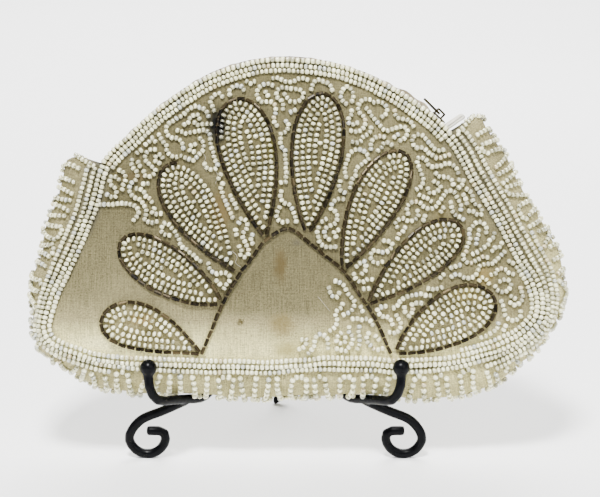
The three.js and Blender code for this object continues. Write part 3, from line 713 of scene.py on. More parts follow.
def petal_line(petal, start=PETAL_START, whole=False, steps=150):
    across, up, angle, length, width, point, bow, loop = petal
    turn = math.radians(angle)
    loop = 1 if whole else loop
    t = np.linspace(start, start + (2 * math.pi - 2 * start) * loop, steps)
    every = np.linspace(0, math.pi, 200)
    fullest = np.max(np.sin(every) * np.sin(every / 2) ** point)
    share = (1 - np.cos(t)) / 2
    along = share * length * SEAM_HEIGHT
    swell = np.sin(t) * np.abs(np.sin(t / 2)) ** point / fullest
    aside = (swell * width / 2 + bow * 4 * share * (1 - share)) * SEAM_HEIGHT
    x = across * SEAM_WIDTH + along * math.cos(turn) - aside * math.sin(turn)
    z = up * SEAM_HEIGHT + along * math.sin(turn) + aside * math.cos(turn)
    return np.stack([x, z], -1)


fan_line = catmull([(across * SEAM_WIDTH, up * SEAM_HEIGHT) for across, up in FAN_EDGE], False, 10)
petal_shapes = [petal_line(petal, 0.02, True) for petal in PETALS]
border_line = seam[:-1][::2]


# Cloth


def panel_piece(name, face, rings, columns, stained):
    """A whole panel as one curved sheet from its middle out to the seam."""
    loop = Line(seam)
    edge = loop.at(np.arange(columns) * loop.length / columns)
    points = [np.array([[0.0, PUFF_UP]])]
    for ring in rings:
        points.append(np.array([0, PUFF_UP]) + (edge - [0, PUFF_UP]) * ring)
    flat = np.vstack(points)
    faces = [(0, 1 + (j + 1) % columns, 1 + j) for j in range(columns)]
    faces += [tuple(1 + k for k in reversed(f)) for f in grid_faces(len(rings), columns, True)]
    piece = mesh_object(name, to_part(face(flat[:, 0], flat[:, 1])), faces)
    note(piece, "weave", np.c_[flat, np.zeros(len(flat))])
    note(piece, "grime", border_soil_and_shade(flat), "FLOAT")
    note(piece, "pale", panel_pale(flat), "FLOAT")
    note(piece, "stained", np.full(len(flat), float(stained)), "FLOAT")
    facing_out(piece)
    middle = piece.data.polygons[0].normal.dot(forward)
    if (middle < 0) == (name == "front_panel_satin"):
        piece.data.flip_normals()
    thicken(piece, CLOTH)
    return piece


def border_soil_and_shade(flat):
    """Soil and painted shade in the cloth near the seam, in the gaps between the rows of beads: a dark line
    beside the zip's first row, grey down the sides.
    """
    ring, _ = ring_of(flat[:, 0], flat[:, 1])
    reach = np.hypot(flat[:, 0], flat[:, 1] - PUFF_UP)
    inside = reach / np.maximum(ring, 1e-3) - reach
    low = 1 - smoothstep(flat[:, 1], 8, 16)
    top = smoothstep(flat[:, 1], 78, 92)
    side = 0.6 * (1 - smoothstep(inside, 4.0, 6.4))
    # The dark line between the zip's first and second rows is painted shade in the gap, with some soil.
    line = np.exp(-((inside - 2.3) / 0.7) ** 2)
    under = 0.65 * (1 - smoothstep(inside, 0.4, 1.0)) + 0.2 * (1 - smoothstep(inside, 3, 5))
    above = np.maximum(0.95 * line, 0.35 * (1 - smoothstep(inside, 5, 7)))
    return np.clip(under * low + above * top + side * (1 - low) * (1 - top), 0, 1)


RINGS = [*np.linspace(0.03, 0.93, 44), 0.942, 0.953, 0.963, 0.972, 0.98, 0.988, 0.994, 0.999]
front_cloth = panel_piece("front_panel_satin", front_face, RINGS, 260, True)
back_cloth = panel_piece("back_panel_satin", back_face, RINGS[::2] + [0.998], 200, False)


def gusset_piece():
    stations = np.linspace(0, gusset_line.length, 330)
    across = np.linspace(-GUSSET_WIDTH / 2, GUSSET_WIDTH / 2, 27)
    s, w = (g.ravel() for g in np.meshgrid(stations, across, indexing="ij"))
    piece = mesh_object("gusset_satin", to_part(gusset_face(s, w)), grid_faces(len(stations), len(across)))
    note(piece, "weave", np.stack([s, w, np.zeros(len(s))], -1))
    edge = GUSSET_WIDTH / 2 - np.abs(w)
    share = s / gusset_line.length
    low = smoothstep(share, 0.28, 0.34) * (1 - smoothstep(share, 0.70, 0.76))
    # The gusset's ends are darkened by soil; the grey sides and the dark line at the seam underneath are soil
    # and painted shade between the rows.
    side = 0.6 * (1 - smoothstep(edge, 3.4, 5.6))
    ends = 0.85 * (1 - smoothstep(np.minimum(s, gusset_line.length - s), 0.5, 1.3))
    under = 0.65 * (1 - smoothstep(edge, 0.3, 0.9)) + 0.15 * (1 - smoothstep(edge, 2, 4))
    note(piece, "grime", np.maximum(ends, side * (1 - low) + under * low), "FLOAT")
    note(piece, "pale", pale_by(PALE_GUSSET, s / gusset_line.length), "FLOAT")
    note(piece, "stained", np.zeros(len(s)), "FLOAT")
    piece.data.flip_normals()
    outward = piece.data.polygons[len(piece.data.polygons) // 2]
    if outward.normal.dot(Vector(to_part([[0, 0, -20]])[0]) - Vector(to_part([[0, 0, 0]])[0])) < 0:
        piece.data.flip_normals()
    return thicken(piece, CLOTH)


gusset_cloth = gusset_piece()

finish(front_cloth, ivory_satin, replaces=["front_panel"])
finish(back_cloth, ivory_satin, replaces=["back_panel"])
finish(gusset_cloth, ivory_satin, replaces=["gusset"])


# Beads: where they sit, how they lie, and what they look like


class Beads:
    """Beads gathered for one piece."""

    def __init__(self, seed):
        self.places = []
        self.holes = []
        self.sizes = []
        self.tones = []
        self.spots = []
        self.rng = np.random.default_rng(seed)

    def add(self, place, hole, size, tone, spots):
        self.places.append(place)
        self.holes.append(hole)
        self.sizes.append(size)
        self.tones.append(tone)
        self.spots.append(spots)

    def sew(self, face, ab, hole, side=1, radius=BEAD_RADIUS, spread=0.045, tilt=0.16, tone=0.56, squash=1.0):
        """Seats beads on a face at its own coordinates, with their holes along the given directions."""
        count = len(ab)
        place, normal = seated(face, ab, radius - 0.12, side)
        hole = unit(hole - normal * np.sum(hole * normal, -1, keepdims=True))
        aside = np.cross(normal, hole)
        wobble = self.rng.normal(0, tilt, (count, 2))
        hole = unit(hole + normal * wobble[:, :1] + aside * wobble[:, 1:])
        scale = np.clip(self.rng.normal(1, spread, (count, 1)), 0.85, 1.16)
        length = np.clip(self.rng.normal(1, spread * 1.6, (count, 1)), 0.8, 1.2)
        size = np.hstack([scale, scale, length * squash]) * radius / BEAD_RADIUS
        clean = 1 - smoothstep(ab[:, 1], 14, 34) if face is front_face else 0
        tones = np.clip(self.rng.normal(tone, 0.19, count) + 0.24 * clean, 0.05, 0.88)
        rare = self.rng.random(count)
        tones = np.where(rare < 0.02, 1.0, np.where(rare < 0.08, 0.94, tones))
        self.add(place, hole, size, tones, np.c_[ab, np.zeros(count)])


def seated(face, ab, lift, side=1):
    """Points lifted off a face, and the face's outward direction there."""
    a, b = np.asarray(ab, float).T
    step = 0.3
    along_a = face(a + step, b) - face(a - step, b)
    along_b = face(a, b + step) - face(a, b - step)
    normal = unit(np.cross(along_a, along_b)) * side
    return face(a, b) + normal * lift, normal


def spaced(face, line, pitch, closed=False, phase=0.0):
    """Places along a line on a face, a real pitch apart, with the direction of the line at each."""
    dense = Line(line).at(np.linspace(0, Line(line).length, max(30, int(Line(line).length * 3))))
    solid = Line(face(dense[:, 0], dense[:, 1]))
    count = max(1, int(round(solid.length / pitch)))
    even = solid.length / count
    distances = (np.arange(count if closed else count + 1) + phase) * even
    distances = distances[distances <= solid.length + 1e-6]
    flat = np.stack([np.interp(distances, solid.run, column) for column in dense.T], -1)
    ahead = solid.at(np.minimum(distances + 0.4, solid.length)) - solid.at(np.maximum(distances - 0.4, 0))
    return flat, unit(ahead)


class Crowd:
    """Where beads already are, so that new ones keep clear."""

    def __init__(self, cell=3.0):
        self.cell = cell
        self.cells = {}

    def key(self, point):
        return tuple(int(math.floor(c / self.cell)) for c in point)

    def add(self, points):
        for point in points:
            self.cells.setdefault(self.key(point), []).append(tuple(point))

    def free(self, point, clear):
        x, y, z = self.key(point)
        for i in (x - 1, x, x + 1):
            for j in (y - 1, y, y + 1):
                for k in (z - 1, z, z + 1):
                    for other in self.cells.get((i, j, k), ()):
                        if math.dist(other, point) < clear:
                            return False
        return True


def near_tree(points):
    tree = KDTree(len(points))
    for index, point in enumerate(points):
        tree.insert((point[0], point[1], 0), index)
    tree.balance()
    return tree


def wander(face, start, allowed, crowd, rng, style):
    """One string of beads sewn in loose curls, as far as it finds room."""
    clear, longest, tight, loose = style
    flat = [np.asarray(start, float)]
    solid = [face(flat[0][:1], flat[0][1:])[0]]
    heading = rng.uniform(0, 2 * math.pi)
    sign = rng.choice((-1, 1))
    left = 0
    bend = 0
    while len(flat) < longest:
        if left <= 0:
            if bend and rng.random() < 0.45:
                bend = 0
                left = rng.randint(1, 3)
            else:
                sign = -sign if rng.random() < 0.8 else sign
                bend = sign * BEAD_PITCH / rng.uniform(tight, loose)
                left = int(rng.uniform(1.5, 3.5) / abs(bend))
        for nudge in (0, 0.35, -0.35, 0.75, -0.75, 1.15, -1.15):
            way = heading + bend + nudge * (sign if bend else 1)
            step = np.array([math.cos(way), math.sin(way)])
            trial = flat[-1] + step
            reach = np.linalg.norm(face(trial[:1], trial[1:])[0] - solid[-1])
            trial = flat[-1] + step * BEAD_PITCH / max(reach, 0.2)
            if not allowed(trial):
                continue
            point = face(trial[:1], trial[1:])[0]
            if not crowd.free(point, clear):
                continue
            if any(math.dist(own, point) < clear * 0.93 for own in solid[:-1]):
                continue
            break
        else:
            break
        heading = way
        left -= 1
        flat.append(trial)
        solid.append(point)
    return np.array(flat), np.array(solid)


def along_string(solid):
    ahead = np.vstack([solid[1:], solid[-1:]]) - np.vstack([solid[:1], solid[:-1]])
    return unit(ahead)


def vermicelli(beads, face, side, starts, allowed, crowd, rng, styles):
    """Fills the room that is left with curling strings, the long ones first."""
    for style, shortest in styles:
        rng.shuffle(starts)
        for start in starts:
            if not allowed(start):
                continue
            if not crowd.free(face(start[:1], start[1:])[0], style[0]):
                continue
            flat, solid = wander(face, start, allowed, crowd, rng, style)
            if len(flat) < shortest:
                continue
            crowd.add(solid)
            beads.sew(face, flat, along_string(solid), side)


def scattered(low, high, gap, rng):
    """Loose candidate places over a rectangle."""
    places = []
    for x in np.arange(low[0], high[0], gap):
        for z in np.arange(low[1], high[1], gap):
            places.append(np.array([x + rng.uniform(-1, 1), z + rng.uniform(-1, 1)]))
    return places


def inset_line(line, distance):
    """A closed line moved inwards. The seam runs clockwise, so inwards is to its right."""
    ahead = unit(np.roll(line, -2, axis=0) - np.roll(line, 2, axis=0))
    inward = np.stack([ahead[:, 1], -ahead[:, 0]], -1)
    return line + inward * distance


front_crowd = Crowd()
petal_beads = Beads(11)


def fill_petal(shape, axis_angle, seed):
    """Single beads sewn in rounds inside a petal's outline, with the odd gap in its middle filled last."""
    rng = np.random.default_rng(seed)
    tree = near_tree(shape)
    crowd = Crowd()
    centre = shape.mean(0)
    ahead = unit(np.gradient(shape, axis=0))
    inward = np.stack([-ahead[:, 1], ahead[:, 0]], -1)
    if np.mean(np.sum(inward * (centre - shape), -1)) < 0:
        inward = -inward
    flat = []
    holes = []
    for ring in range(6):
        distance = FIRST_ROUND + ROUND_GAP * ring
        moved = shape + inward * distance
        keep = [tree.find((p[0], p[1], 0))[2] > distance - 0.12 for p in moved]
        moved = moved[np.array(keep) & inside(shape, moved)]
        if len(moved) < 3:
            break
        run = Line(moved)
        for place in np.arange((ring % 2) * ROUND_PITCH / 2, run.length, ROUND_PITCH):
            point = run.at(place)
            if tree.find((point[0], point[1], 0))[2] < distance - 0.4:
                continue
            way = unit(run.at(min(place + 0.5, run.length)) - run.at(max(place - 0.5, 0)))
            point = point + rng.normal(0, 0.08, 2)
            solid = (point[0], 0, point[1])
            if crowd.free(solid, LEAST_APART):
                crowd.add([solid])
                flat.append(point)
                holes.append((way[0], 0, way[1]))
    low, high = shape.min(0), shape.max(0)
    for _ in range(900):
        point = rng.uniform(low, high)
        if not inside(shape, point)[0] or tree.find((point[0], point[1], 0))[2] < LEAST_APART:
            continue
        solid = (point[0], 0, point[1])
        if crowd.free(solid, 2.1):
            crowd.add([solid])
            flat.append(point)
            turn = axis_angle + rng.normal(0, 0.3)
            holes.append((math.cos(turn), 0, math.sin(turn)))
    return np.array(flat), np.array(holes)


for index, (petal, shape) in enumerate(zip(PETALS, petal_shapes)):
    flat, holes = fill_petal(shape, math.radians(petal[2]), 40 + index)
    petal_beads.sew(front_face, flat, holes, radius=1.0, spread=0.06, tilt=0.24, squash=0.86)

# Rows along the seam, not quite straight


def sway(distance, seed):
    """How far hand-sewn rows stray from their line, in millimetres."""
    return pucker(distance, 0 * distance, [(61, 0.16), (37, 0.14), (23, 0.1), (14, 0.06)], seed)


def bottom_lift(x, z):
    """The bottom rows dip left of the middle and rise to its right."""
    low = 1 - smoothstep(z, 6, 12)
    dip = -0.8 * np.exp(-((x + 12.4) / 8) ** 2)
    rise = 1.0 * smoothstep(x, 4, 12) * (1 - smoothstep(x, 28, 38))
    return low * (dip + rise)


def seam_row(inset, first, last, seed=5):
    """A line inside the front's seam between two of its shape rows."""
    loop = seam[:-1]
    run = np.arange(len(loop)) * 0.7
    low = 1 - smoothstep(loop[:, 1], 6, 12)
    stray = sway(run, seed) + bottom_lift(loop[:, 0], loop[:, 1]) - 0.2 * low
    line = inset_line(loop, np.maximum(0.6, inset + stray)[:, None])
    return line[int(first * SPAN_STEPS): int(last * SPAN_STEPS)]


border_beads = Beads(12)
LAST_ROW = len(SEAM_SHAPE)
PANEL_ROWS = [
    (0.95, 0.1, ZIP_END_ROW, 1.16), (3.35, 0, ZIP_END_ROW, 1.06), (5.5, 0.1, ZIP_END_ROW, 1.03),
    (1.3, ZIP_END_ROW, LAST_ROW, 1.09), (3.6, ZIP_END_ROW, LAST_ROW, 1.06), (5.75, 9.4, 13.4, 1.03),
]
for inset, first, last, radius in PANEL_ROWS:
    flat, ahead = spaced(front_face, seam_row(inset, first, last), BEAD_PITCH * radius / BEAD_RADIUS)
    # The seam rows get a lighter tone than the curling strings, partly painted light where the zip rows catch
    # the light from above; side rows higher up are greyer.
    high = smoothstep(flat[:, 1], 34, 60) * (0 if last == ZIP_END_ROW else 1)
    border_beads.sew(front_face, flat, ahead, radius=radius, tilt=0.12, spread=0.055, tone=0.76 - 0.14 * high)
    front_crowd.add(seated(front_face, flat, 0)[0])

# Curling strings on the front

string_beads = Beads(13)
string_rng = random.Random(21)
for route in (EDGE_STRING, PEAK_STRING, ARCH_STRING):
    flat, ahead = spaced(front_face, catmull(route, False, 10), BEAD_PITCH)
    string_beads.sew(front_face, flat, ahead)
    front_crowd.add(seated(front_face, flat, 0)[0])

outline_tree = near_tree(np.vstack([*petal_shapes, fan_line]))
seam_tree = near_tree(border_line)
fan_shape = np.vstack([fan_line, [(fan_line[-1][0] + 2, -20), (fan_line[0][0] - 2, -20)]])
bare_left = np.array(BARE_LEFT)
under_fan = np.array(UNDER_FAN)


def front_allowed(place):
    spot_at = (float(place[0]), float(place[1]), 0.0)
    if seam_tree.find(spot_at)[2] < CLEAR_OF_SEAM:
        return False
    if outline_tree.find(spot_at)[2] < CLEAR_OF_BUGLES:
        return False
    here = np.atleast_2d(place)
    if inside(bare_left, here)[0]:
        return False
    if inside(fan_shape, here)[0]:
        return bool(inside(under_fan, here)[0])
    return True


def front_starts(rng):
    places = scattered((-104, 2), (102, 124), 2.0, rng)
    flat = np.array(places)
    keep = inside(seam[:-1], flat)
    for shape in petal_shapes:
        keep &= ~inside(shape, flat)
    return [place for place, good in zip(places, keep) if good]


FRONT_STYLES = [((2.8, 20, 2.5, 4.4), 6), ((2.6, 12, 2.3, 4.0), 4), ((2.45, 5, 2.2, 4.0), 2)]
front_places = front_starts(string_rng)
vermicelli(string_beads, front_face, 1, front_places, front_allowed, front_crowd, string_rng, FRONT_STYLES)


# The easel's wires, to keep beads out of them

wire_work = bmesh.new()
for node in ("stand_leg_left", "stand_leg_right", "stand_back_leg"):
    wire_work.from_mesh(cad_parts[node].data)
wires = BVHTree.FromBMesh(wire_work)
wire_work.free()


def clear_of_wires(beads):
    """Drops the beads that the easel's wires would press into."""
    for index, place in enumerate(beads.places):
        keep = np.array([wires.find_nearest(Vector(p))[3] > CLEAR_OF_WIRES * MM for p in to_part(place)])
        for rows in (beads.places, beads.holes, beads.sizes, beads.tones, beads.spots):
            rows[index] = rows[index][keep]


# Gusset: rows along each seam, and short strings across the band, most of them joined by turns

gusset_beads = Beads(14)
gusset_crowd = Crowd()
HALF_BAND = GUSSET_WIDTH / 2

# Rows along the gusset's seams: inset from the seam, from and to as shares of the gusset, and which sides
GUSSET_ROWS = [
    (1.2, 0, 1, (-1, 1)), (3.45, 0, 0.31, (-1, 1)), (3.45, 0.72, 1, (-1, 1)), (5.6, 0.14, 0.3, (-1,)),
]


def rows_at(share):
    """How far in from the seam the rows reach, at a share of the gusset."""
    return 1.2 + max(inset for inset, first, last, _ in GUSSET_ROWS if first <= share <= last)


def bottom_share(station):
    """1 under the purse, 0 at its sides."""
    share = station / gusset_line.length
    return smoothstep(share, 0.28, 0.34) * (1 - smoothstep(share, 0.70, 0.76))


for inset, first, last, sides in GUSSET_ROWS:
    for side in sides:
        ends = np.clip(np.array([first, last]) * gusset_line.length, 2.5, gusset_line.length - 2.5)
        stations = np.linspace(*ends, 500)
        at = gusset_line.at(stations)
        stray = sway(stations, 8 + side) - bottom_lift(at[:, 0], at[:, 1]) - 0.2 * bottom_share(stations)
        reach = HALF_BAND - np.maximum(0.5, inset + stray)
        flat, ahead = spaced(gusset_face, np.c_[stations, side * reach], BEAD_PITCH)
        low = bottom_share(flat[:, 0])
        # Gusset beads get a lighter tone than the front's strings, partly painted light; the extra under the
        # purse is painted light for the underside, which the lamps above hardly reach.
        gusset_beads.sew(gusset_face, flat, ahead, tilt=0.12, spread=0.055, tone=0.66 + 0.14 * low)
        gusset_crowd.add(seated(gusset_face, flat, 0)[0])


for station in (1.7, gusset_line.length - 1.7):
    across = np.linspace(-HALF_BAND + 2.4, HALF_BAND - 2.4, 40)
    flat, ahead = spaced(gusset_face, np.c_[np.full(40, station), across], BEAD_PITCH)
    gusset_beads.sew(gusset_face, flat, ahead, radius=0.97, tilt=0.3)
    gusset_crowd.add(seated(gusset_face, flat, 0)[0])


def band_strings(side):
    """Strings from the seam rows towards the fold, joined in pairs by a turn at one end or the other."""
    rng = random.Random(31 + side)
    routes = []
    s = 3.0
    previous = None
    while s < gusset_line.length - 3:
        share = s / gusset_line.length
        near = HALF_BAND - rows_at(share) - rng.uniform(1.0, 2.0)
        far = rng.uniform(-2.2, 2.6)
        slant = rng.gauss(0, 0.8)
        bow = rng.uniform(-1.0, 1.0)
        w = np.linspace(near, far, 9)
        run = (near - w) / (near - far)
        route = np.c_[s + slant * (run - 0.5) * 2 + bow * 4 * run * (1 - run), w * side]
        low = float(bottom_share(s))
        joined = rng.random() - 0.14 * low
        if previous is not None and joined < 0.78 and abs(previous[0][0] - route[0][0]) < 6:
            end = 0 if joined < 0.62 + 0.2 * low else -1
            past = 0.9 if end == 0 else -0.9
            corners = [previous[end], route[end]]
            pushes = zip(corners, (0.9, -0.9))
            outer = [(corner[0] + push, corner[1] + past * side) for corner, push in pushes]
            routes.append(catmull([corners[0], *outer, corners[1]], False, 6))
        routes.append(route)
        previous = None if previous is not None and joined < 0.78 else route
        s += rng.uniform(3.7, 4.5) + 0.8 * low
    return routes


for side in (-1, 1):
    for route in band_strings(side):
        low = float(bottom_share(route[0][0]))
        radius = BEAD_RADIUS + 0.17 * low
        flat, ahead = spaced(gusset_face, route, BEAD_PITCH * (1 + 0.27 * low))
        solid = seated(gusset_face, flat, 0)[0]
        keep = []
        for point in solid:
            keep.append(gusset_crowd.free(point, 1.6))
            if keep[-1]:
                gusset_crowd.add([point])
        keep = np.array(keep)
        if keep.any():
            # Strings on the band get the same lighter tone: the extra under the purse is painted light for
            # the underside, which the lamps above hardly reach.
            tone = 0.66 + 0.18 * low
            gusset_beads.sew(gusset_face, flat[keep], ahead[keep], radius=radius, tilt=0.2, tone=tone)


def gusset_allowed(place):
    return 3 < place[0] < gusset_line.length - 3 and abs(place[1]) < 1.2


gusset_rng = random.Random(32)
gusset_starts = scattered((3, -2), (gusset_line.length - 3, 2), 2.4, gusset_rng)
vermicelli(gusset_beads, gusset_face, 1, gusset_starts, gusset_allowed, gusset_crowd, gusset_rng,
           [((2.5, 3, 2.4, 5.0), 1)])
clear_of_wires(gusset_beads)
clear_of_wires(border_beads)

# Back: two rows along the seam and curling strings all over

back_rows = Beads(17)
back_beads = Beads(15)
back_crowd = Crowd()
for inset in (0.85, 3.1):
    loop = inset_line(seam[:-1], inset)
    flat, ahead = spaced(back_face, np.vstack([loop, loop[:1]]), BEAD_PITCH, closed=True)
    back_rows.sew(back_face, flat, ahead, -1, tilt=0.1)
    back_crowd.add(seated(back_face, flat, 0)[0])


def back_allowed(place):
    return seam_tree.find((float(place[0]), float(place[1]), 0.0))[2] > CLEAR_OF_SEAM


back_rng = random.Random(33)
back_places = scattered((-104, 2), (102, 124), 2.2, back_rng)
back_inside = inside(seam[:-1], np.array(back_places))
back_starts = [place for place, good in zip(back_places, back_inside) if good]
vermicelli(back_beads, back_face, -1, back_starts, back_allowed, back_crowd, back_rng,
           [((2.75, 24, 2.6, 4.6), 7), ((2.6, 12, 2.4, 4.2), 3)])
clear_of_wires(back_rows)
clear_of_wires(back_beads)


# Bugle lines round the petals and over the peak

bugle_beads = Beads(16)


def bugle_string(line, darkness):
    """Bugles end to end along a line on the front."""
    flat, _ = spaced(front_face, line, BUGLE_PITCH)
    solid, _ = seated(front_face, flat, BUGLE_LIFT)
    middle = (flat[1:] + flat[:-1]) / 2
    place, _ = seated(front_face, middle, BUGLE_LIFT)
    span = solid[1:] - solid[:-1]
    count = len(middle)
    rng = bugle_beads.rng
    hole = unit(unit(span) + rng.normal(0, 0.05, (count, 3)))
    length = np.linalg.norm(span, axis=1) / BUGLE_PITCH * rng.normal(0.985, 0.03, count)
    width = rng.normal(1, 0.05, count)
    tone = np.clip(rng.normal(darkness, 0.18, count), 0, 1)
    stained = np.hypot((middle[:, 0] + 33) / 5, (middle[:, 1] - 96) / 9) < 1
    tone = np.where(stained, 0.02, tone)
    bugle_beads.add(place, hole, np.stack([width, width, length], -1), tone, np.c_[middle, np.zeros(count)])


DARKNESS = [0.55, 0.45, 0.4, 0.35, 0.35, 0.5, 0.5, 0.5]
for petal, darkness in zip(PETALS, DARKNESS):
    bugle_string(petal_line(petal), darkness)
bugle_string(fan_line, 0.45)


# From places to pieces


def lathe_ring(profile, sides):
    """A closed ring mesh from a profile of (radius, height) turned about Z."""
    points = []
    faces = []
    count = len(profile)
    for i in range(sides):
        angle = 2 * math.pi * i / sides
        points += [(r * math.cos(angle) * MM, r * math.sin(angle) * MM, h * MM) for r, h in profile]
    for i in range(sides):
        n = (i + 1) % sides
        for j in range(count):
            k = (j + 1) % count
            faces.append((i * count + j, n * count + j, n * count + k, i * count + k))
    return points, faces


def round_profile(middle, half_width, half_height, corners, start=0.5):
    """An oval bead wall, outermost corner first."""
    turns = [2 * math.pi * (i + start) / corners for i in range(corners)]
    return [(middle + half_width * math.cos(t), half_height * math.sin(t)) for t in turns]


def pattern(name, profile, sides, smooth=True):
    points, faces = lathe_ring(profile, sides)
    piece = facing_out(mesh_object(name, points, faces, smooth))
    return piece


def named(tree, attribute):
    """Reads one of the points' own directions or sizes."""
    reader = add(tree, "GeometryNodeInputNamedAttribute", data_type="FLOAT_VECTOR", in_Name=attribute)
    return reader.outputs["Attribute"]


def repeat_tree(name, turned, sized=None):
    """Puts a pattern at each point and makes real mesh of them. turned gives the tree its rotation."""
    tree = bpy.data.node_groups.new(name, "GeometryNodeTree")
    for label, kind in (("Points", "Geometry"), ("Pattern", "Object"), ("Finish", "Material")):
        tree.interface.new_socket(label, in_out="INPUT", socket_type="NodeSocket" + kind)
    tree.interface.new_socket("Pieces", in_out="OUTPUT", socket_type="NodeSocketGeometry")
    source = tree.nodes.new("NodeGroupInput")
    result = tree.nodes.new("NodeGroupOutput")
    pattern_mesh = add(tree, "GeometryNodeObjectInfo", {"Object": source.outputs["Pattern"]})
    links = {
        "Points": source.outputs["Points"],
        "Instance": pattern_mesh.outputs["Geometry"],
        "Rotation": turned(tree),
    }
    if sized:
        links["Scale"] = named(tree, sized)
    placed = add(tree, "GeometryNodeInstanceOnPoints", links)
    real = add(tree, "GeometryNodeRealizeInstances", {"Geometry": placed.outputs[0]})
    finished = add(tree, "GeometryNodeSetMaterial", {
        "Geometry": real.outputs[0],
        "Material": source.outputs["Finish"],
    })
    tree.links.new(finished.outputs[0], result.inputs[0])
    return tree


def repeated(piece, tree, shape, material):
    """Turns a piece's points into copies of a pattern."""
    modifier = piece.modifiers.new("repeat", "NODES")
    modifier.node_group = tree
    sockets = {item.name: item.identifier for item in tree.interface.items_tree if item.in_out == "INPUT"}
    modifier[sockets["Pattern"]] = shape
    modifier[sockets["Finish"]] = material
    return settled(piece)


def along_hole(tree):
    """A bead lies with its hole along its string."""
    turn = add(tree, "FunctionNodeAlignRotationToVector", {"Vector": named(tree, "hole")}, axis="Z")
    return turn.outputs["Rotation"]


STRINGING = repeat_tree("string beads", along_hole, "size")


def strung(name, beads, bead, material, replaces=()):
    """One piece of all the gathered beads."""
    places = to_part(np.vstack(beads.places))
    piece = mesh_object(name, places, [])
    note(piece, "hole", np.vstack(beads.holes) @ turn_matrix.T)
    note(piece, "size", np.vstack(beads.sizes))
    note(piece, "tone", np.concatenate(beads.tones), "FLOAT")
    note(piece, "spot", np.vstack(beads.spots))
    repeated(piece, STRINGING, bead, material)
    for spare in ("hole", "size"):
        if spare in piece.data.attributes:
            piece.data.attributes.remove(piece.data.attributes[spare])
    print(name, len(places), "beads", sum(len(p.vertices) - 2 for p in piece.data.polygons), "triangles")
    return finish(piece, material, replaces=replaces)


fine_bead = pattern("fine_bead", round_profile(0.61, 0.44, 0.76, 7), 11)
plain_bead = pattern("plain_bead", round_profile(0.62, 0.44, 0.79, 5, 0.0), 8)
bugle = pattern("bugle", [
    (0.28, -BUGLE_LENGTH / 2 + 0.08), (0.56, -BUGLE_LENGTH / 2), (BUGLE_RADIUS, -BUGLE_LENGTH / 2 + 0.12),
    (BUGLE_RADIUS, BUGLE_LENGTH / 2 - 0.12), (0.56, BUGLE_LENGTH / 2), (0.28, BUGLE_LENGTH / 2 - 0.08),
], 8, False)
note(bugle, "cut", [1, 1, 0, 0, 1, 1] * 8, "FLOAT")

outlines = [f"petal_outline_{i + 1}" for i in range(len(PETALS))]
strung("border_seed_beads", border_beads, fine_bead, white_bead)
strung("petal_seed_beads", petal_beads, fine_bead, white_bead)
strung("curling_seed_beads", string_beads, fine_bead, white_bead)
strung("gusset_seed_beads", gusset_beads, plain_bead, white_bead)
strung("back_border_seed_beads", back_rows, plain_bead, white_bead)
strung("back_curling_seed_beads", back_beads, plain_bead, white_bead)
strung("bugle_bead_lines", bugle_beads, bugle, dark_bugle, replaces=[*outlines, "fan_edge"])
for spare in (fine_bead, plain_bead, bugle):
    bpy.data.objects.remove(spare)


# Zip


def zip_frame(distance):
    distance = np.atleast_1d(distance)
    return strip_frame(zip_line, distance, np.full(len(distance), ZIP_HALF))


def tape_piece(side):
    """One tape: a hidden leg down beside the panel, a shoulder, and the woven edge beside the teeth."""
    end = zip_line.length - TAPE_FROM_END
    stations = np.linspace(GAP, end, 190)
    middle, _, across, out = zip_frame(stations)
    section = [(-3.9, -3.2), (-3.9, -1.2), (-3.8, -0.2), (-3.4, 0.35), (-2.8, 0.5), (-2.2, 0.45), (-1.9, 0.4)]
    near_slider = zip_line.length - SLIDER_FROM_END - 12
    lift = 0.25 * np.sin(stations / 2.6 + side) + 0.2 * np.sin(stations / 1.3)
    lift = lift + 1.7 * np.exp(-((stations - near_slider) / 9) ** 2) * (0.75 + 0.25 * np.sin(stations / 1.7))
    points = []
    weave = []
    for p, q in section:
        raised = q + lift * smoothstep(q, -1.2, 0.4)
        points.append(middle + across * (p * side) + out * raised[:, None])
        weave.append(np.stack([stations, np.full(len(stations), p + q), np.zeros(len(stations))], -1))
    name = "zip_tape_front_woven" if side > 0 else "zip_tape_back_woven"
    piece = mesh_object(name, to_part(np.vstack(points)), grid_faces(len(section), len(stations)))
    note(piece, "weave", np.vstack(weave))
    facing = piece.data.polygons[4 * (len(stations) - 1) + 90]
    up = Vector(to_part([[0, 0, 1]])[0]) - Vector(to_part([[0, 0, 0]])[0])
    if facing.normal.dot(up) < 0:
        piece.data.flip_normals()
    thicken(piece, TAPE_WALL)
    node = "zip_tape_front" if side > 0 else "zip_tape_back"
    return finish(piece, soiled_tape, replaces=[node])


tape_piece(1)
tape_piece(-1)


def tooth_pattern():
    """A zip tooth: a rounded block that grips the tape and a narrow nose that meets the other side."""
    work = bmesh.new()
    bmesh.ops.create_cube(work, size=1)
    for vertex in work.verts:
        nose = vertex.co.y < 0
        vertex.co.x *= 0.62 if nose else 1.0
        vertex.co.z *= 0.9 if nose else 1.25
        vertex.co.y *= 2.1
    bmesh.ops.bevel(work, geom=work.edges[:], offset=0.16, segments=1, affect="EDGES")
    for vertex in work.verts:
        vertex.co *= MM
    mesh = bpy.data.meshes.new("tooth")
    work.to_mesh(mesh)
    work.free()
    piece = bpy.data.objects.new("tooth", mesh)
    bpy.context.scene.collection.objects.link(piece)
    return piece


def tooth_turn(tree):
    """A tooth lies with its length along the zip's width and its top outwards."""
    upright = add(tree, "FunctionNodeAlignRotationToVector", {"Vector": named(tree, "out")}, axis="Z")
    turned = add(tree, "FunctionNodeAlignRotationToVector", {
        "Rotation": upright.outputs["Rotation"],
        "Vector": named(tree, "away"),
    }, axis="Y", pivot_axis="Z")
    return turned.outputs["Rotation"]


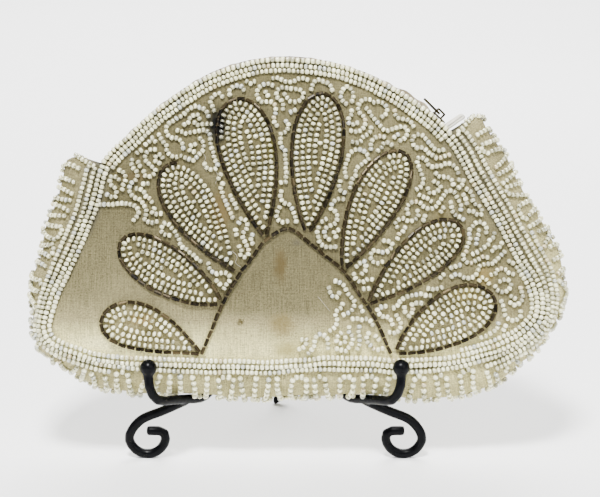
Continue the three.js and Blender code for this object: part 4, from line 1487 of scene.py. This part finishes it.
def teeth_piece():
    end = zip_line.length - SLIDER_FROM_END
    places = []
    tops = []
    aways = []
    for side, phase in ((1, 0.0), (-1, 0.75)):
        middle, _, across, out = zip_frame(np.arange(TOOTH_PITCH + phase, end, TOOTH_PITCH))
        places.append(middle + across * (side * 0.75) + out * 0.1)
        tops.append(out)
        aways.append(across * side)
    piece = mesh_object("zip_teeth", to_part(np.vstack(places)), [])
    note(piece, "out", np.vstack(tops) @ turn_matrix.T)
    note(piece, "away", np.vstack(aways) @ turn_matrix.T)
    tooth = tooth_pattern()
    repeated(piece, repeat_tree("zip teeth", tooth_turn), tooth, bright_brass)
    bpy.data.objects.remove(tooth)
    return finish(piece, bright_brass, replaces=["zip_chain"])


teeth_piece()


def merged_copy(node, name):
    """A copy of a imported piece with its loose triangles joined."""
    piece = mesh_object(name, [], [])
    piece.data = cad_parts[node].data.copy()
    work = bmesh.new()
    work.from_mesh(piece.data)
    bmesh.ops.remove_doubles(work, verts=work.verts, dist=0.00002)
    bmesh.ops.dissolve_limit(work, angle_limit=0.02, verts=work.verts, edges=work.edges)
    work.to_mesh(piece.data)
    work.free()
    names = [attribute.name for attribute in piece.data.attributes]
    for name in names:
        if name.startswith("sharp") or name == "custom_normal":
            piece.data.attributes.remove(piece.data.attributes[name])
    return piece


def eased_copy(node, name, width, body):
    """A small metal piece with its edges worn round."""
    piece = merged_copy(node, name)
    bevel = piece.modifiers.new("worn edges", "BEVEL")
    bevel.width = width * MM
    bevel.segments = 3
    bevel.limit_method = "ANGLE"
    bevel.angle_limit = math.radians(35)
    settled(piece)
    piece.data.polygons.foreach_set("use_smooth", [True] * len(piece.data.polygons))
    return finish(piece, old_brass, body, [node])


eased_copy("zip_slider", "zip_slider_cast", 0.14, "purse")
eased_copy("zip_pull", "zip_pull_stamped", 0.16, "pull")


def end_tab():
    """The folded end of the tape, standing up beside the zip's right end."""
    middle, along, across, out = (v[0] for v in zip_frame(zip_line.length - TAB_FROM_END))
    half = TAB_HALF
    top = TAB_HEIGHT - 1.6
    lean_along = along * math.cos(TAB_LEAN) - out * math.sin(TAB_LEAN)
    lean_out = out * math.cos(TAB_LEAN) + along * math.sin(TAB_LEAN)
    turns = np.linspace(-math.pi / 2, math.pi / 2, 8)
    fold = [(-half, q) for q in np.linspace(-0.4, top, 8)]
    fold += [(half * math.sin(t), top + half * math.cos(t)) for t in turns[1:-1]]
    fold += [(half, q) for q in np.linspace(top, -0.4, 8)]
    across_steps = np.linspace(-TAB_WIDTH / 2, TAB_WIDTH / 2, 12)
    points = []
    weave = []
    for row, (u, q) in enumerate(fold):
        for p in across_steps:
            wave = 0.22 * math.sin(p * 1.1 + q * 0.35)
            ragged = 0.25 * math.sin(p * 2.3) * max(0, q) / TAB_HEIGHT
            leaning = u + wave * max(0, q) / TAB_HEIGHT
            points.append(middle + lean_along * leaning + across * p + lean_out * (q + ragged))
            weave.append((p, row * 0.9, 0))
    piece = mesh_object("zip_end_tab_folded", to_part(points), grid_faces(len(fold), len(across_steps)))
    note(piece, "weave", weave)
    facing = Vector(to_part([middle + along])[0]) - Vector(to_part([middle])[0])
    if piece.data.polygons[len(piece.data.polygons) - 40].normal.dot(facing) < 0:
        piece.data.flip_normals()
    thicken(piece, TAB_WALL)
    return finish(piece, ivory_tape, replaces=["zip_end_tab"])


end_tab()


# Loose threads where the third petal has lost its outline

thread, _, _ = shader("ivory thread", Roughness=0.7, Base_Color=(0.36, 0.33, 0.24, 1))
THREADS = [
    [(-40.5, 84.5), (-38.2, 86.4), (-36.6, 84.2), (-37.8, 81.2), (-36.0, 78.6)],
    [(-33.2, 80.6), (-31.8, 77.2), (-32.6, 73.8)],
    [(-25.8, 46.8), (-23.8, 44.4), (-24.4, 42.0), (-22.2, 40.2)],
    [(8.4, 28.6), (11.4, 25.0), (13.0, 23.0)],
]


def thread_piece():
    curve = bpy.data.curves.new("loose_threads", "CURVE")
    curve.dimensions = "3D"
    curve.bevel_depth = 0.075 * MM
    curve.bevel_resolution = 1
    curve.use_fill_caps = True
    for route in THREADS:
        flat = catmull(route, False, 8)
        lift = 0.25 + 0.5 * np.sin(np.linspace(0, math.pi, len(flat)))
        places = np.array([seated(front_face, flat[i:i + 1], lift[i])[0][0] for i in range(len(flat))])
        spline = curve.splines.new("POLY")
        spline.points.add(len(flat) - 1)
        for point, place in zip(spline.points, to_part(places)):
            point.co = (*place, 1)
    piece = bpy.data.objects.new("loose_threads", curve)
    bpy.context.scene.collection.objects.link(piece)
    depsgraph = bpy.context.evaluated_depsgraph_get()
    mesh = bpy.data.meshes.new_from_object(piece.evaluated_get(depsgraph), depsgraph=depsgraph)
    bpy.data.objects.remove(piece)
    piece = bpy.data.objects.new("loose_threads", mesh)
    bpy.context.scene.collection.objects.link(piece)
    return finish(piece, thread)


thread_piece()


# Easel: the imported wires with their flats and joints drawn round


def rounded_wire(node, name):
    piece = merged_copy(node, name)
    remesh = piece.modifiers.new("even skin", "REMESH")
    remesh.mode = "VOXEL"
    remesh.voxel_size = 0.5 * MM
    settled(piece)
    smooth = piece.modifiers.new("drawn round", "SMOOTH")
    smooth.factor = 0.6
    smooth.iterations = 9
    swell = piece.modifiers.new("full thickness", "DISPLACE")
    swell.mid_level = 0
    swell.strength = 0.45 * MM
    settled(piece)
    piece.data.polygons.foreach_set("use_smooth", [True] * len(piece.data.polygons))
    return finish(piece, black_paint, replaces=[node])


rounded_wire("stand_leg_left", "easel_wire_left")
rounded_wire("stand_leg_right", "easel_wire_right")
rounded_wire("stand_back_leg", "easel_back_leg")


# Camera, floor and light


def set_stage():
    low, high = (Vector(corner) for corner in cad_bounds)
    floor = mesh_object("floor", [(-4, -3, 0), (4, -3, 0), (4, 5, 0), (-4, 5, 0)], [(0, 1, 2, 3)], False)
    pale, _, _ = shader("pale floor", Base_Color=(0.94, 0.94, 0.94, 1), Roughness=0.9)
    floor.data.materials.append(pale)
    world = bpy.data.worlds.new("soft room")
    world.use_nodes = True
    world.node_tree.nodes["Background"].inputs[0].default_value = (1, 1, 1, 1)
    world.node_tree.nodes["Background"].inputs[1].default_value = 0.56
    bpy.context.scene.world = world
    middle = (low + high) / 2
    for name, place, target, size, power in (
        ("key", (-0.14, -0.64, 1.25), middle, 0.27, 50),
        ("fill", (0.8, -0.9, 0.7), middle, 0.8, 10),
        ("rim", (0.2, 0.9, 0.9), middle, 0.6, 8),
        ("far floor", (0, 1.9, 1.5), Vector((0, 1.9, 0)), 2.4, 160),
    ):
        light = bpy.data.lights.new(name, "AREA")
        light.size = size
        light.energy = power
        lamp = bpy.data.objects.new(name, light)
        lamp.location = place
        lamp.rotation_euler = (target - Vector(place)).to_track_quat("-Z", "Y").to_euler()
        bpy.context.scene.collection.objects.link(lamp)
    camera = bpy.data.cameras.new("camera")
    camera.lens = CAMERA_LENS
    camera.sensor_width = 36
    camera.sensor_fit = "HORIZONTAL"
    camera.clip_start = 0.01
    eye = bpy.data.objects.new("camera", camera)
    eye.location = seat + Vector(CAMERA_PLACE) * MM
    eye.rotation_euler = (math.pi / 2 - CAMERA_DOWN, 0, 0)
    bpy.context.scene.collection.objects.link(eye)
    bpy.context.scene.camera = eye


set_stage()
